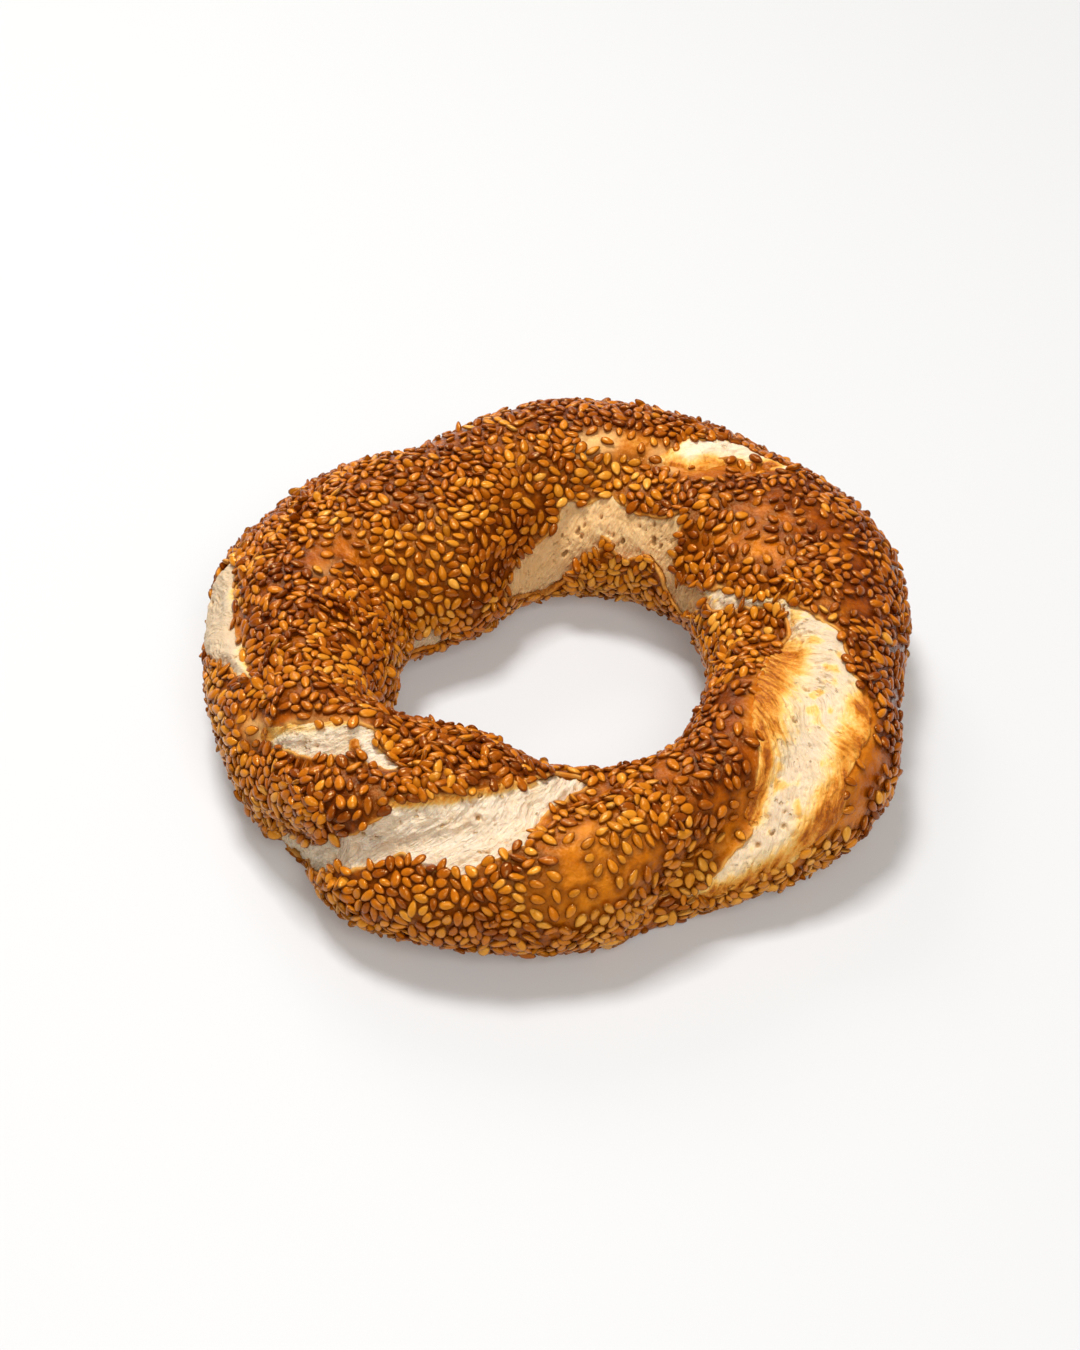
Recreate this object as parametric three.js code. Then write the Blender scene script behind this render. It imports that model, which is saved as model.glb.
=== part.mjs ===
// A sesame bread ring of the kind sold on the streets of Istanbul. Ropes of dough are twisted
// round each other, the twist is closed into a ring, and the ring is baked lying on a flat tray.
// The loaf has grown together in the oven, so it is one solid: a thick, uneven ring with a flat
// underside and slanting folds where the twisted ropes meet.
//
// Millimetres, +Z up. The ring lies on z = 0, and the middle of its footprint is at the origin.
//
// A point of the crust has two angles, both in degrees:
//   turn   round the ring, from +X towards +Y
//   round  about the rope of dough: 0 at the outer rim, 90 on top, 180 in the hole, 270 below

import * as THREE from "three";

// Driving dimensions, one value every 30 degrees of turn.
const CENTRE_RADIUS = [50.5, 58.5, 63.5, 65, 57, 58, 53, 54.5, 52, 51.5, 50, 51.5];
const HALF_WIDTH = [20, 25, 23.5, 25, 27, 23.5, 19.5, 16, 23.5, 19.5, 16.5, 21];
const HEIGHT = [34.5, 35.5, 37.5, 38, 36, 33.5, 34, 35, 34.5, 31.5, 30, 33.5];

// The rope is widest a little under its middle, and the tray has flattened it below.
const BELLY_HEIGHT = 0.45; // height of the widest place, as a share of the height
const UNDERSIDE_REACH = 1.155; // the round underside would reach this many belly heights down
const ROPE_RADIUS = 20; // mean radius of the rope, which turns degrees of round into millimetres

// Folds of the twist. Each is a valley between two ropes. Its path runs on the unrolled crust
// through pairs of [turn, round], and the ropes swell away from it on both sides.
const FOLDS = [
  // left shoulder
  { path: [[158, 22], [180, 40], [206, 62]], width: 13, depth: 2.5 },
  // left front, above a thin rope
  { path: [[199, 15], [226, 72], [240, 98]], width: 13, depth: 3 },
  // front, from the outer rim over the top to the hole
  { path: [[211, -50], [222, -5], [240, 30], [265, 82], [288, 140]], width: 15, depth: 5.5 },
  // right, the longest and deepest
  { path: [[285, -60], [291, 5], [318, 60], [348, 98], [392, 165]], width: 14, depth: 6 },
  // back, down into the hole
  { path: [[43, 58], [66, 100], [88, 148], [114, 195]], width: 16, depth: 4 },
  // back, up the outer rim
  { path: [[68, -50], [84, -5], [104, 25], [124, 46]], width: 15, depth: 4 },
];
const CREASE_RADIUS = 2.5; // rounding at the bottom of a fold
const FOLD_TAPER = 0.15; // share of a fold's length over which it fades out at each end
const TRAY_FADE = [-1, -0.7]; // sine of round between which the tray has pressed folds flat

// Facets: enough for the folds to show, few enough for collision work.
const STEPS_ROUND_RING = 120;
const STEPS_ROUND_ROPE = 36;

const radians = THREE.MathUtils.degToRad;
const smoothstep = THREE.MathUtils.smoothstep;

// A smooth closed curve through evenly spaced values, read at any turn.
function atTurn(values, turn) {
  const count = values.length;
  const place = ((turn / 360) * count + count) % count;
  const first = Math.floor(place);
  const [p0, p1, p2, p3] = [-1, 0, 1, 2].map((k) => values[(first + k + count) % count]);
  const t = place - first;
  const slopeIn = (p2 - p0) / 2;
  const slopeOut = (p3 - p1) / 2;
  const square = 3 * (p2 - p1) - 2 * slopeIn - slopeOut;
  const cube = 2 * (p1 - p2) + slopeIn + slopeOut;
  return p1 + t * (slopeIn + t * (square + t * cube));
}

// Distance in millimetres from a point of the crust to a fold's path, and the share of the
// path passed where it is nearest. The crust is unrolled at the point's own reach, which is
// its distance from the ring's axis.
function nearestOnPath(path, turn, round, reach) {
  const unroll = ([t, r]) => new THREE.Vector2(radians(t) * reach, radians(r) * ROPE_RADIUS);
  const point = unroll([turn, round]);
  const pieces = path.length - 1;
  let nearest = { distance: Infinity, share: 0 };
  for (let i = 0; i < pieces; i++) {
    const start = unroll(path[i]);
    const step = unroll(path[i + 1]).sub(start);
    const passed = point.clone().sub(start).dot(step) / step.lengthSq();
    const share = THREE.MathUtils.clamp(passed, 0, 1);
    const distance = point.distanceTo(start.addScaledVector(step, share));
    if (distance < nearest.distance) {
      nearest = { distance, share: (i + share) / pieces };
    }
  }
  return nearest;
}

// How deep one fold lies at a point of the crust. The sides of the valley rise steeply from
// the crease and then round over, as two ropes do that lie against each other.
function foldDepth(fold, turn, round, reach) {
  const { distance, share } = nearestOnPath(fold.path, turn, round, reach);
  const fromCrease = Math.hypot(distance, CREASE_RADIUS) - CREASE_RADIUS;
  const side = Math.max(0, 1 - fromCrease / fold.width) ** 2;
  const fadeIn = smoothstep(share, 0, FOLD_TAPER);
  const fadeOut = smoothstep(1 - share, 0, FOLD_TAPER);
  return fold.depth * side * fadeIn * fadeOut;
}

// All folds together. Angles repeat after a full circle, so each fold is tried one circle
// to either side as well.
function foldsDepth(turn, round, reach) {
  let depth = 0;
  for (const fold of FOLDS) {
    for (const turnShift of [-360, 0, 360]) {
      for (const roundShift of [-360, 0, 360]) {
        depth += foldDepth(fold, turn + turnShift, round + roundShift, reach);
      }
    }
  }
  return depth;
}

// A point of the crust.
function crustPoint(turn, round) {
  const out = Math.cos(radians(round));
  const up = Math.sin(radians(round));
  const centre = atTurn(CENTRE_RADIUS, turn);
  const halfWidth = atTurn(HALF_WIDTH, turn);
  const height = atTurn(HEIGHT, turn);
  const belly = BELLY_HEIGHT * height;
  const halfHeight = up > 0 ? height - belly : belly * UNDERSIDE_REACH;
  const awayFromTray = smoothstep(up, ...TRAY_FADE);
  const depth = foldsDepth(turn, round, centre + halfWidth * out) * awayFromTray;
  const reach = centre + (halfWidth - depth) * out;
  return new THREE.Vector3(
    reach * Math.cos(radians(turn)),
    reach * Math.sin(radians(turn)),
    Math.max(0, belly + (halfHeight - depth) * up),
  );
}

// A plain torus of the right facet count, each vertex moved to its place on the crust.
function ringGeometry() {
  const geometry = new THREE.TorusGeometry(2, 1, STEPS_ROUND_ROPE, STEPS_ROUND_RING);
  const { position, uv } = geometry.attributes;
  for (let i = 0; i < position.count; i++) {
    const point = crustPoint(uv.getX(i) * 360, uv.getY(i) * 360);
    position.setXYZ(i, point.x, point.y, point.z);
  }
  geometry.computeBoundingBox();
  const middle = geometry.boundingBox.getCenter(new THREE.Vector3());
  geometry.translate(-middle.x, -middle.y, 0);
  geometry.computeVertexNormals();
  return geometry;
}

function breadMaterial() {
  return new THREE.MeshStandardMaterial({ color: 0xb0702c, roughness: 0.55, metalness: 0 });
}

const loaf = new THREE.Mesh(ringGeometry(), breadMaterial());
loaf.name = "simit";

const bread = new THREE.Group();
bread.add(loaf);

export default bread;
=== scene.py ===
# %% [markdown]
# # A simit that tore open as it baked
# A simit is a ring of dough, two ropes twisted together, dipped in grape molasses and rolled in
# sesame seeds. In the oven the crust sets before the dough has finished rising, so it tears along
# the twist and the pale crumb shows. This lesson builds it in that order: the shape of the loaf,
# the tears, the crust, the crumb inside them, and some seven and a half thousand seeds.
#
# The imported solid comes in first. It holds the part's true size, and every piece made here is
# placed around it in the same frame.

import math

import bpy
import numpy as np
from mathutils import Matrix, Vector
from mathutils.kdtree import KDTree


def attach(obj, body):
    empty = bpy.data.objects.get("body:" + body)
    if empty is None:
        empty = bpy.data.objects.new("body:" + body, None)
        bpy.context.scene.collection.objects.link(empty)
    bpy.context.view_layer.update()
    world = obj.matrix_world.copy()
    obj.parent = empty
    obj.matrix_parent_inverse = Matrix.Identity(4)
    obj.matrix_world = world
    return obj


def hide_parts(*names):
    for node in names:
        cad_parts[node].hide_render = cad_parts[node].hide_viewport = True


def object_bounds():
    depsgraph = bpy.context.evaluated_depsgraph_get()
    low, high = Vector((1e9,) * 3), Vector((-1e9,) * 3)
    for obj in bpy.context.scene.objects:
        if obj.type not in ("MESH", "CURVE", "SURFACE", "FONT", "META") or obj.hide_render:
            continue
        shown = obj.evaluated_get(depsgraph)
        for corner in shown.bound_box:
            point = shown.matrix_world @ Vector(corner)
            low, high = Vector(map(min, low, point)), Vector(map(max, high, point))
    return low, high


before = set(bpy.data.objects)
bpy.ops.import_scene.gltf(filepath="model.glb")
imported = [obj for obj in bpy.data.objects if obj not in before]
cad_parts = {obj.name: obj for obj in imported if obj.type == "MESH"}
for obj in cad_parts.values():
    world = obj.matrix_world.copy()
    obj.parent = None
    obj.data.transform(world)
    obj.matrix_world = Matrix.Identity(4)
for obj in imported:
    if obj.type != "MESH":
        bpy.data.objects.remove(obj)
solid_low, solid_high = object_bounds()
MM = 0.001
print("solid box in mm:", [round(side / MM, 2) for side in solid_high - solid_low])

# %% [markdown]
# ## The loaf as a function of two angles
# Every place on the crust has two angles: `turn` runs round the ring, and `around` runs round the
# rope of dough, from 0 at the outer rim over 90 on top to 180 in the hole. The sizes of the rope
# at each 30 degrees are the same that the solid was made from, and so are the folds, the valleys
# where one rope of the twist meets the other. Sizes are in millimetres.
#
# A mesh could be sculpted instead, but a function can be asked for any place at any time, so the
# crust, the crumb and each seed all agree on where the surface is.

# %% Sizes of the rope and its folds
CENTRE_RADIUS = [50.5, 58.5, 63.5, 65, 57, 58, 53, 54.5, 52, 51.5, 50, 51.5]
HALF_WIDTH = [20, 25, 23.5, 25, 27, 23.5, 19.5, 16, 23.5, 19.5, 16.5, 21]
HEIGHT = [34.5, 35.5, 37.5, 38, 36, 33.5, 34, 35, 34.5, 31.5, 30, 33.5]
BELLY_HEIGHT = 0.45  # share of the height at which the rope is widest
UNDERSIDE_REACH = 1.155  # depth of the lower half beside that, which the tray cuts off flat
ROPE_RADIUS = 20  # for distances round the rope
FOLDS = [
    {"name": "left shoulder", "path": [(158, 22), (180, 40), (206, 62)], "width": 13, "depth": 2.5},
    {"name": "left front", "path": [(199, 15), (226, 72), (240, 98)], "width": 13, "depth": 3},
    {"name": "front", "path": [(211, -50), (222, -5), (240, 30), (265, 82), (288, 140)],
     "width": 15, "depth": 5.5},
    {"name": "right", "path": [(285, -60), (291, 5), (318, 60), (348, 98), (392, 165)],
     "width": 14, "depth": 6},
    {"name": "back", "path": [(43, 58), (66, 100), (88, 148), (114, 195)], "width": 16, "depth": 4},
    {"name": "back rim", "path": [(68, -50), (84, -5), (104, 25), (124, 46)],
     "width": 15, "depth": 4},
]
CREASE_RADIUS = 2.5  # of the round at the bottom of a fold
FOLD_TAPER = 0.15  # share of a fold's length over which each end fades
TRAY_FADE = (-1, -0.7)  # sines of around between which the folds fade out underneath
print("folds:", ", ".join(fold["name"] for fold in FOLDS))

# %% Helpers for smooth change
TINY = 1e-9  # keeps a division away from 0


def ease(value, start, end):
    """0 before start, 1 after end, and a smooth step between them."""
    share = np.clip((value - start) / (end - start), 0, 1)
    return share * share * (3 - 2 * share)


def wrapped(angle):
    """An angle in degrees brought to between -180 and 180."""
    return (np.asarray(angle) + 180) % 360 - 180


def along_ring(sizes, turn):
    """A size that is given at even stations round the ring, on a smooth closed curve."""
    sizes = np.array(sizes, float)
    place = turn / 360 * len(sizes)
    station = np.floor(place).astype(int)
    t = place - station
    before, this, following, after = (sizes[(station + k) % len(sizes)] for k in (-1, 0, 1, 2))
    cubic = 3 * (this - following) + after - before
    square = 2 * before - 5 * this + 4 * following - after
    return this + 0.5 * t * (following - before + t * (square + t * cubic))


# %% Distance to a path on the unrolled crust
def distance_to_path(path, turn, around, reach):
    """Millimetres to the nearest point of a path, and that point's share of the path's length."""
    to_x = np.radians(1) * reach
    to_y = np.radians(1) * ROPE_RADIUS
    nearest = np.full(turn.shape, np.inf)
    share = np.zeros(turn.shape)
    pieces = len(path) - 1
    for i in range(pieces):
        x, y = (path[i][0] - turn) * to_x, (path[i][1] - around) * to_y
        along_x = (path[i + 1][0] - path[i][0]) * to_x
        along_y = (path[i + 1][1] - path[i][1]) * to_y
        t = np.clip(-(x * along_x + y * along_y) / (along_x**2 + along_y**2), 0, 1)
        distance = np.hypot(x + t * along_x, y + t * along_y)
        closer = distance < nearest
        nearest = np.where(closer, distance, nearest)
        share = np.where(closer, (i + t) / pieces, share)
    return nearest, share


def fold_depth(turn, around, reach):
    """How deep the folds press the rope in at a place, in mm."""
    depth = np.zeros(turn.shape)
    for fold in FOLDS:
        for turn_shift in (-360, 0, 360):
            for around_shift in (-360, 0, 360):
                distance, share = distance_to_path(
                    fold["path"], turn + turn_shift, around + around_shift, reach)
                from_crease = np.hypot(distance, CREASE_RADIUS) - CREASE_RADIUS
                side = np.maximum(0, 1 - from_crease / fold["width"]) ** 2
                ends = ease(share, 0, FOLD_TAPER) * ease(1 - share, 0, FOLD_TAPER)
                depth += fold["depth"] * side * ends
    return depth


# %% The loaf's surface
def skin_point(turn, around):
    """The loaf's surface in mm, before it is moved to the solid's place."""
    centre = along_ring(CENTRE_RADIUS, turn)
    half_width = along_ring(HALF_WIDTH, turn)
    height = along_ring(HEIGHT, turn)
    out, up = np.cos(np.radians(around)), np.sin(np.radians(around))
    belly = BELLY_HEIGHT * height
    half_height = np.where(up > 0, height - belly, belly * UNDERSIDE_REACH)
    depth = fold_depth(turn, around, centre + half_width * out) * ease(up, *TRAY_FADE)
    reach = centre + (half_width - depth) * out
    x = reach * np.cos(np.radians(turn))
    y = reach * np.sin(np.radians(turn))
    z = np.maximum(0, belly + (half_height - depth) * up)
    return np.stack([x, y, z], -1)


TURN_STEPS, AROUND_STEPS = 720, 360
TURN_CELL, AROUND_CELL = 360 / TURN_STEPS, 360 / AROUND_STEPS  # degrees
turn_grid, around_grid = np.meshgrid(
    np.arange(TURN_STEPS) * TURN_CELL, np.arange(AROUND_STEPS) * AROUND_CELL, indexing="ij")
skin = skin_point(turn_grid, around_grid)
solid_middle = np.array((solid_low + solid_high) / 2) / MM
ring_shift = solid_middle - (skin.min((0, 1)) + skin.max((0, 1))) / 2
ring_shift[2] = 0
skin += ring_shift
print("ring's axis stands at", np.round(ring_shift[:2], 2), "mm; loaf spans",
      np.round(skin.max((0, 1)) - skin.min((0, 1)), 2), "mm")

# %% [markdown]
# A table of the surface on a fine grid saves working it out again: points, outward directions and
# the direction of growing `turn` are looked up between the grid's nodes. The grid closes on
# itself both ways, as the loaf does.

# %% Table of the surface
def span(values):
    """The least and the greatest of some numbers, to print."""
    return f"{np.min(values):.2f} to {np.max(values):.2f}"


def unit(vectors):
    """The vectors brought to length 1."""
    return vectors / np.maximum(np.linalg.norm(vectors, axis=-1, keepdims=True), TINY)


def step_along(grid, axis):
    """From each node's neighbour on one side to its neighbour on the other."""
    return np.roll(grid, -1, axis) - np.roll(grid, 1, axis)


turn_step = np.linalg.norm(step_along(skin, 0), axis=-1) / (2 * TURN_CELL)  # mm to a degree
around_step = np.linalg.norm(step_along(skin, 1), axis=-1) / (2 * AROUND_CELL)
skin_turnwise = unit(step_along(skin, 0))
skin_normal = unit(np.cross(step_along(skin, 0), step_along(skin, 1)))


def look_up(table, turn, around):
    """A value from a table over the whole loaf, between its nodes."""
    i, j = turn / 360 * TURN_STEPS, around / 360 * AROUND_STEPS
    i0, j0 = np.floor(i).astype(int), np.floor(j).astype(int)
    u, v = i - i0, j - j0
    if table.ndim == 3:
        u, v = u[..., None], v[..., None]
    near, far = i0 % TURN_STEPS, (i0 + 1) % TURN_STEPS
    low, high = j0 % AROUND_STEPS, (j0 + 1) % AROUND_STEPS
    return ((table[near, low] * (1 - v) + table[near, high] * v) * (1 - u)
            + (table[far, low] * (1 - v) + table[far, high] * v) * u)


print("a degree of turn is", span(turn_step), "mm of crust")

# %% [markdown]
# Nothing on a loaf is even. The small differences come from noise: each corner of a grid in space
# gets a number by shuffling the bits of its place and of a seed, and between the corners the
# values run smoothly. Blender has noise for scripts too, but it takes one point at a time, which
# is slow for a hundred thousand of them. This one takes all points at once.

# %% Seeded noise
FIRST_CELL = 1000  # so that every place lies in a cell with a positive number
AXIS_PRIMES = np.array([73856093, 19349663, 83492791])
SEED_PRIME = 971
SHUFFLES = ((15, 1274126177), (13, 668265263))  # bits to shift by, number to multiply by
WORD = 0xFFFFFFFF  # 32 bits
LEVEL_BITS = 16
LEVELS = 2**LEVEL_BITS  # different values that a corner can take


def noise(points, size, seed):
    """Smooth values from -1 to 1 that change over about size mm, the same for the same seed."""
    cells = points / size + FIRST_CELL
    corner = np.floor(cells).astype(np.int64)
    part = cells - corner
    part = part * part * (3 - 2 * part)
    total = np.zeros(len(points))
    for step in np.ndindex(2, 2, 2):
        key = ((corner + step) @ AXIS_PRIMES + seed * SEED_PRIME) & WORD
        for shift, factor in SHUFFLES:
            key = ((key ^ (key >> shift)) * factor) & WORD
        value = (key ^ (key >> LEVEL_BITS)) % LEVELS / (LEVELS - 1) * 2 - 1
        total += value * np.prod(np.where(step, part, 1 - part), axis=1)
    return total


def layered(points, layers):
    """Noises added up. Each layer is its size in mm, its strength and its seed."""
    return sum(strength * noise(points, size, seed) for size, strength, seed in layers)


DRAWS_SEED = 11
rng = np.random.default_rng(DRAWS_SEED)
print("noise:", span(noise(skin.reshape(-1, 3), size=5, seed=1)))

# %% [markdown]
# ## Where the crust tore
# Each tear is an outline of (turn, around) angles. What the pieces need is one number for each
# place: how many millimetres it lies inside a tear, or outside if it is negative. The distance to
# the outlines gives it, and noise frays it, because baked crust breaks along its seeds and
# blisters and never in a smooth line.

# %% Outlines of the tears
TEARS = {
    "right": [(36, 158), (31, 148), (26, 142), (20, 135), (17, 128), (15, 120), (10, 108), (6, 99),
              (2, 89), (359, 82), (357, 75), (355, 72), (352, 70), (348, 67), (346, 64), (344, 59),
              (341, 57), (339, 54), (338, 49), (335, 46), (332, 44), (328, 41), (324, 35), (322, 30),
              (321, 22), (320, 13), (318, 7), (317, 6), (314, 9), (313, 6), (311, -3), (308, -3),
              (306, -7), (304, -10), (301, -11), (299, -11), (296, -14), (294, -19), (293, -24),
              (295, -9), (297, -2), (299, 3), (300, 9), (302, 15), (303, 18), (304, 18), (305, 21),
              (307, 29), (309, 40), (311, 50), (312, 60), (313, 69), (316, 78), (317, 83), (319, 87),
              (321, 94), (327, 106), (331, 109), (337, 113), (345, 116), (352, 115), (358, 116),
              (359, 110), (359, 107), (3, 108), (7, 110), (10, 114), (13, 120), (15, 127), (18, 136),
              (20, 145), (23, 152), (27, 157), (32, 160)],
    "front": [(210, -38), (214, -34), (219, -25), (225, -3), (228, 7), (230, 11), (233, 23), (235, 30),
              (237, 36), (238, 43), (239, 48), (240, 55), (240, 61), (241, 64), (243, 67), (246, 70),
              (249, 74), (250, 78), (252, 82), (254, 87), (257, 92), (258, 97), (261, 102), (264, 111),
              (267, 121), (270, 129), (274, 129), (276, 123), (273, 116), (271, 107), (269, 101),
              (267, 93), (266, 85), (265, 77), (264, 65), (263, 57), (262, 61), (261, 54), (260, 50),
              (259, 46), (257, 42), (256, 38), (254, 34), (252, 35), (250, 35), (248, 35), (246, 35),
              (244, 38), (243, 37), (242, 31), (241, 26), (239, 23), (237, 17), (235, 10), (233, 5),
              (230, -7), (226, -22), (217, -52), (211, -52)],
    "left_front": [(207, 37), (208, 45), (211, 54), (213, 64), (216, 72), (218, 79), (220, 87),
                   (222, 92), (223, 96), (225, 98), (226, 96), (227, 91), (228, 88), (230, 87),
                   (232, 87), (234, 85), (232, 82), (230, 79), (229, 75), (228, 79), (226, 80),
                   (225, 80), (224, 83), (225, 77), (223, 73), (221, 67), (219, 61), (216, 54),
                   (214, 50), (211, 45), (209, 40)],
    "left": [(157, 40), (157, 28), (158, 14), (160, 3), (164, -6), (169, -5), (174, 5), (179, 18),
             (184, 32), (190, 44), (196, 55), (190, 51), (184, 47), (179, 43), (173, 38), (169, 43),
             (163, 38)],
    "inner_left": [(160, 182), (147, 204), (140, 209), (134, 210), (130, 208), (135, 198), (139, 192),
                   (143, 181), (146, 182), (151, 183), (157, 180)],
    "back": [(68, 101), (67, 92), (66, 83), (64, 76), (62, 69), (60, 61), (58, 57), (56, 54), (54, 53),
             (51, 56), (48, 58), (47, 56), (47, 59), (50, 61), (53, 62), (55, 67), (57, 72), (58, 75),
             (59, 81), (60, 88), (62, 93), (63, 96), (66, 98)],
    "hole": [(107, 188), (106, 181), (103, 177), (99, 171), (96, 168), (94, 166), (91, 159), (89, 154),
             (89, 144), (86, 142), (84, 146), (81, 142), (79, 138), (77, 136), (74, 142), (70, 144),
             (66, 144), (62, 144), (59, 139), (56, 136), (55, 140), (55, 145), (53, 148), (55, 158),
             (54, 160), (53, 164), (52, 170), (49, 172), (42, 163), (36, 158), (33, 161), (36, 170),
             (43, 184), (49, 192), (53, 188), (55, 182), (57, 173), (59, 167), (61, 166), (65, 168),
             (68, 172), (70, 174), (74, 171), (75, 167), (77, 162), (79, 158), (80, 162), (79, 165),
             (78, 171), (81, 174), (83, 179), (85, 185), (86, 192), (89, 199), (91, 207), (94, 217),
             (97, 209), (102, 201), (106, 194)],
}
print("tears:", ", ".join(TEARS))


# %% Distance inside an outline
def inside_outline(outline, turn, around):
    """True where a place lies inside a closed outline of angles."""
    inside = np.zeros(turn.shape, bool)
    for (turn_a, around_a), (turn_b, around_b) in zip(outline, outline[1:] + outline[:1]):
        straddles = (around_a > around) != (around_b > around)
        slope = (turn_b - turn_a) / ((around_b - around_a) or TINY)
        inside ^= straddles & (turn < turn_a + (around - around_a) * slope)
    return inside


def unwrapped_outline(outline):
    """The outline with its turns running on past 360, so that no step jumps the ring's start."""
    turns, arounds = [outline[0][0]], [outline[0][1]]
    for turn, around in outline[1:]:
        turns.append(turns[-1] + float(wrapped(turn - turns[-1])))
        arounds.append(around)
    return list(zip(turns, arounds))


def depth_inside(outline, turn, around, reach):
    """Millimetres inside the outline, negative outside it."""
    outline = unwrapped_outline(outline)
    middle_turn = np.mean([t for t, _ in outline])
    middle_around = np.mean([a for _, a in outline])
    turn = middle_turn + wrapped(turn - middle_turn)
    around = middle_around + wrapped(around - middle_around)
    distance, _ = distance_to_path(outline + outline[:1], turn, around, reach)
    return np.where(inside_outline(outline, turn, around), distance, -distance)


# %% [markdown]
# Several things happen along a line on the loaf: teeth of crust that stick out over a tear, rims
# that toasted, ridges that scorched, skin that stretched pale, and spots where few seeds stuck.
# Each is a stroke, as with a brush: a few places, how wide the brush is, and how hard it is
# pressed. Painting them in a viewport would do the same, but a stroke in the script can be read
# and moved.

# %% Strokes on the loaf
STROKE_DOTS = 8  # along a stroke, from one of its places to the next


def average(values):
    """The mean of some numbers, to print."""
    return round(float(np.mean(values)), 3)


def stroke_table(strokes, widen=1, core=0.25):
    """How near each place lies to a stroke, 0 to the stroke's strength. A larger core is harder."""
    near = np.zeros(skin.shape[:2])
    for path, reach, strength in strokes:
        reach = reach * widen
        turns, arounds = np.array(unwrapped_outline(path), float).T
        corner = np.arange(len(path))
        along = np.linspace(0, len(path) - 1, STROKE_DOTS * (len(path) - 1) + 1)
        dots = look_up(skin, np.interp(along, corner, turns), np.interp(along, corner, arounds))
        close = ((skin > dots.min(0) - reach) & (skin < dots.max(0) + reach)).all(-1)
        gap = np.linalg.norm(skin[close][:, None, :] - dots, axis=2).min(1)
        near[close] = np.maximum(near[close], strength * ease(gap, reach, reach * core))
    return near


TEETH = [  # a stroke's places on the loaf, its reach in mm, and mm that it sticks out into a tear
    ([(230, 73), (227, 78), (225, 84)], 1.5, 2.6),
]
teeth_table = stroke_table(TEETH)
print("share of the surface under teeth:", average(teeth_table > 0))

# %% Table of the tears
ring_reach = np.linalg.norm(skin[..., :2] - ring_shift[:2], axis=-1)
TEAR_GROWTH = {  # mm added all round a tear, which the seeds along its rim hide again
    "right": 0.35, "front": 0.75, "left_front": 1.1, "left": 0.35, "inner_left": 0.35, "back": 0.35,
    "hole": 0.5,
}
FAR = 20  # mm past which the distance to a tear no longer matters
tear_tables = np.stack([
    depth_inside(outline, turn_grid, around_grid, ring_reach) + TEAR_GROWTH[name]
    for name, outline in TEARS.items()])
torn_table = np.clip(tear_tables.max(0) - teeth_table, -FAR, FAR)
tear_index_table = tear_tables.argmax(0)
FRAY = ((3.6, 0.7, 21), (1.5, 0.5, 22))  # size of the wobble in mm, how far it goes, seed


def tear_depth(turn, around, points):
    """Millimetres inside the nearest tear with its frayed edge, negative outside."""
    return look_up(torn_table, turn, around) + layered(points, FRAY)


def nearest_tear(turn, around):
    """Which of the tears a place belongs to."""
    i = np.round(turn / 360 * TURN_STEPS).astype(int) % TURN_STEPS
    j = np.round(around / 360 * AROUND_STEPS).astype(int) % AROUND_STEPS
    return tear_index_table[i, j]


print("share of the surface torn open:", average(torn_table > 0))

# %% [markdown]
# ## Triangles that follow the tears
# The crust starts as an even net of triangles over the two angles. Edges near a tear are halved
# until the net is fine there, and then each edge that crosses a tear's outline is cut where it
# crosses. One helper does both: it cuts any chosen edges and re-cuts the triangles beside them,
# so that no crack opens between a fine and a coarse part.

# %% Cut chosen edges
EDGE_BITS = [1, 2, 4]  # what each cut edge of a triangle adds to its number in CUTS
CUTS = {  # the triangles that result, from the corners 0, 1, 2 and the cuts 3, 4, 5
    0: [(0, 1, 2)],
    1: [(0, 3, 2), (3, 1, 2)],
    2: [(0, 1, 4), (0, 4, 2)],
    3: [(3, 1, 4), (0, 3, 4), (0, 4, 2)],
    4: [(0, 1, 5), (1, 2, 5)],
    5: [(0, 3, 5), (3, 1, 2), (3, 2, 5)],
    6: [(4, 2, 5), (0, 1, 4), (0, 4, 5)],
    7: [(0, 3, 5), (3, 1, 4), (4, 2, 5), (3, 4, 5)],
}


def edges_of(faces):
    """The edges without repeats, and which three each face has."""
    pairs = np.sort(np.stack([faces, np.roll(faces, -1, 1)], -1).reshape(-1, 2), 1)
    keys = pairs[:, 0] * (pairs.max() + 1) + pairs[:, 1]
    _, first, back = np.unique(keys, return_index=True, return_inverse=True)
    return pairs[first], back.reshape(-1, 3)


def faces_beside(face_edges):
    """How many faces each edge has beside it: 2, or 1 at a border."""
    return np.bincount(face_edges.ravel())


def cut_edges(places, faces, edges, face_edges, chosen, share):
    """Cuts the chosen edges at a share of their length. Returns the new places and faces."""
    start, end = places[edges[chosen, 0]], places[edges[chosen, 1]]
    new_places = start + wrapped(end - start) * share[chosen, None]
    number = np.full(len(edges), -1)
    number[chosen] = len(places) + np.arange(chosen.sum())
    corners = np.concatenate([faces, number[face_edges]], 1)
    kind = (chosen[face_edges] * EDGE_BITS).sum(1)
    new_faces = [corners[kind == k][:, list(triangle)] for k, parts in CUTS.items()
                 for triangle in parts]
    return np.concatenate([places, new_places]), np.concatenate(new_faces)


# %% Read a place on the loaf
def read_surface(places):
    """Points, outward and turnwise directions, and depth inside a tear, for places on the loaf."""
    turn, around = places.T
    points = look_up(skin, turn, around)
    normals = unit(look_up(skin_normal, turn, around))
    turnwise = unit(look_up(skin_turnwise, turn, around))
    return points, normals, turnwise, tear_depth(turn, around, points)


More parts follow.
